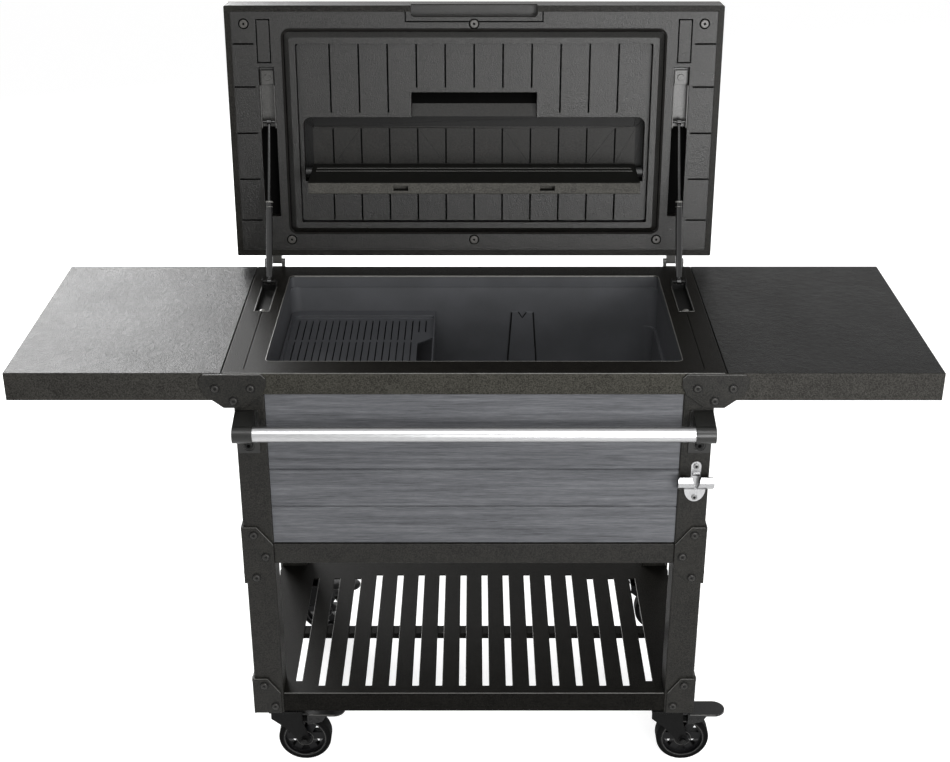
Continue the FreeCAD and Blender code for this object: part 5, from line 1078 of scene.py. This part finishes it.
def add_pieces():
    add_bolt_details()
    add_plate_lines()
    add_screw_details()
    add_lid_screw_details()
    add_painted_shade_skins()
    add_notch_shade()
    add_bead_lines()
    add_shelf_ridges()
    add_front_edges()
    add_slot_edges()
    add_channel_edges()
    add_tub_edge()
    add_rim_band()
    add_pilaster_lines()
    add_strut_glands()
    add_caster_details()
    add_drain_strainer()


# Stage, light and camera

def seen_directly(tree):
    """1 for camera, mirror and see-through rays, 0 for the light that falls on surfaces."""
    path = tree.nodes.new("ShaderNodeLightPath")
    seen = path.outputs["Is Camera Ray"]
    for name in ("Is Glossy Ray", "Is Transmission Ray"):
        seen = larger(tree, seen, path.outputs[name])
    return seen


def floor_material():
    """Pale floor that glows towards the eye, so that it looks white without lighting the object."""
    material = bpy.data.materials.new("floor_paint")
    material.use_nodes = True
    tree = material.node_tree
    shader = tree.nodes["Principled BSDF"]
    shader.inputs["Base Color"].default_value = (FLOOR_GREY, FLOOR_GREY, FLOOR_GREY, 1)
    shader.inputs["Roughness"].default_value = FLOOR_ROUGHNESS
    glow = tree.nodes.new("ShaderNodeEmission")
    glow.inputs["Color"].default_value = (FLOOR_GLOW, FLOOR_GLOW, FLOOR_GLOW, 1)
    tree.links.new(seen_directly(tree), glow.inputs["Strength"])
    joined = tree.nodes.new("ShaderNodeAddShader")
    tree.links.new(shader.outputs[0], joined.inputs[0])
    tree.links.new(glow.outputs[0], joined.inputs[1])
    tree.links.new(joined.outputs[0], tree.nodes["Material Output"].inputs["Surface"])
    return material


def build_stage():
    """A square floor, which isn't part of the object."""
    reach = FLOOR_REACH
    corners = [(-reach, -reach, 0), (reach, -reach, 0), (reach, reach, 0), (-reach, reach, 0)]
    mesh = bpy.data.meshes.new("floor")
    mesh.from_pydata(corners, [], [(0, 1, 2, 3)])
    mesh.materials.append(floor_material())
    floor = bpy.data.objects.new("floor", mesh)
    bpy.context.scene.collection.objects.link(floor)


def white_background(tree, strength):
    node = tree.nodes.new("ShaderNodeBackground")
    node.inputs["Color"].default_value = (1, 1, 1, 1)
    node.inputs["Strength"].default_value = strength
    return node.outputs[0]


def build_world():
    """White surroundings that are seen brighter than they light."""
    world = bpy.data.worlds.new("studio")
    bpy.context.scene.world = world
    world.use_nodes = True
    tree = world.node_tree
    tree.nodes.clear()
    output = tree.nodes.new("ShaderNodeOutputWorld")
    mix = tree.nodes.new("ShaderNodeMixShader")
    tree.links.new(seen_directly(tree), mix.inputs["Fac"])
    tree.links.new(white_background(tree, SKY_LIGHT), mix.inputs[1])
    tree.links.new(white_background(tree, SKY_SEEN), mix.inputs[2])
    tree.links.new(mix.outputs[0], output.inputs["Surface"])


def build_lamps():
    """Rectangular lamps, each turned towards its point."""
    for name, place, target, size, power in LAMPS:
        data = bpy.data.lights.new(name, "AREA")
        data.shape = "RECTANGLE"
        data.size, data.size_y = size
        data.energy = power
        lamp = bpy.data.objects.new(name, data)
        bpy.context.scene.collection.objects.link(lamp)
        lamp.location = place
        towards = Vector(target) - Vector(place)
        lamp.rotation_euler = towards.to_track_quat("-Z", "Y").to_euler()


def build_camera():
    data = bpy.data.cameras.new("camera")
    data.sensor_width = SENSOR_WIDTH
    data.lens = FOCAL_PIXELS / IMAGE_WIDTH * SENSOR_WIDTH
    data.shift_x = CENTRE_LEFT_OF_IMAGE / IMAGE_WIDTH
    camera = bpy.data.objects.new("camera", data)
    bpy.context.scene.collection.objects.link(camera)
    camera.location = (0.0, FRONT_Y - CAMERA_BEFORE_FRONT, TOP_Z + CAMERA_ABOVE_TOP)
    camera.rotation_euler = (math.radians(90 - CAMERA_PITCH), 0, 0)
    bpy.context.scene.camera = camera


dress_nodes()
add_pieces()
build_stage()
build_world()
build_lamps()
build_camera()
bpy.context.scene.view_settings.view_transform = "Standard"
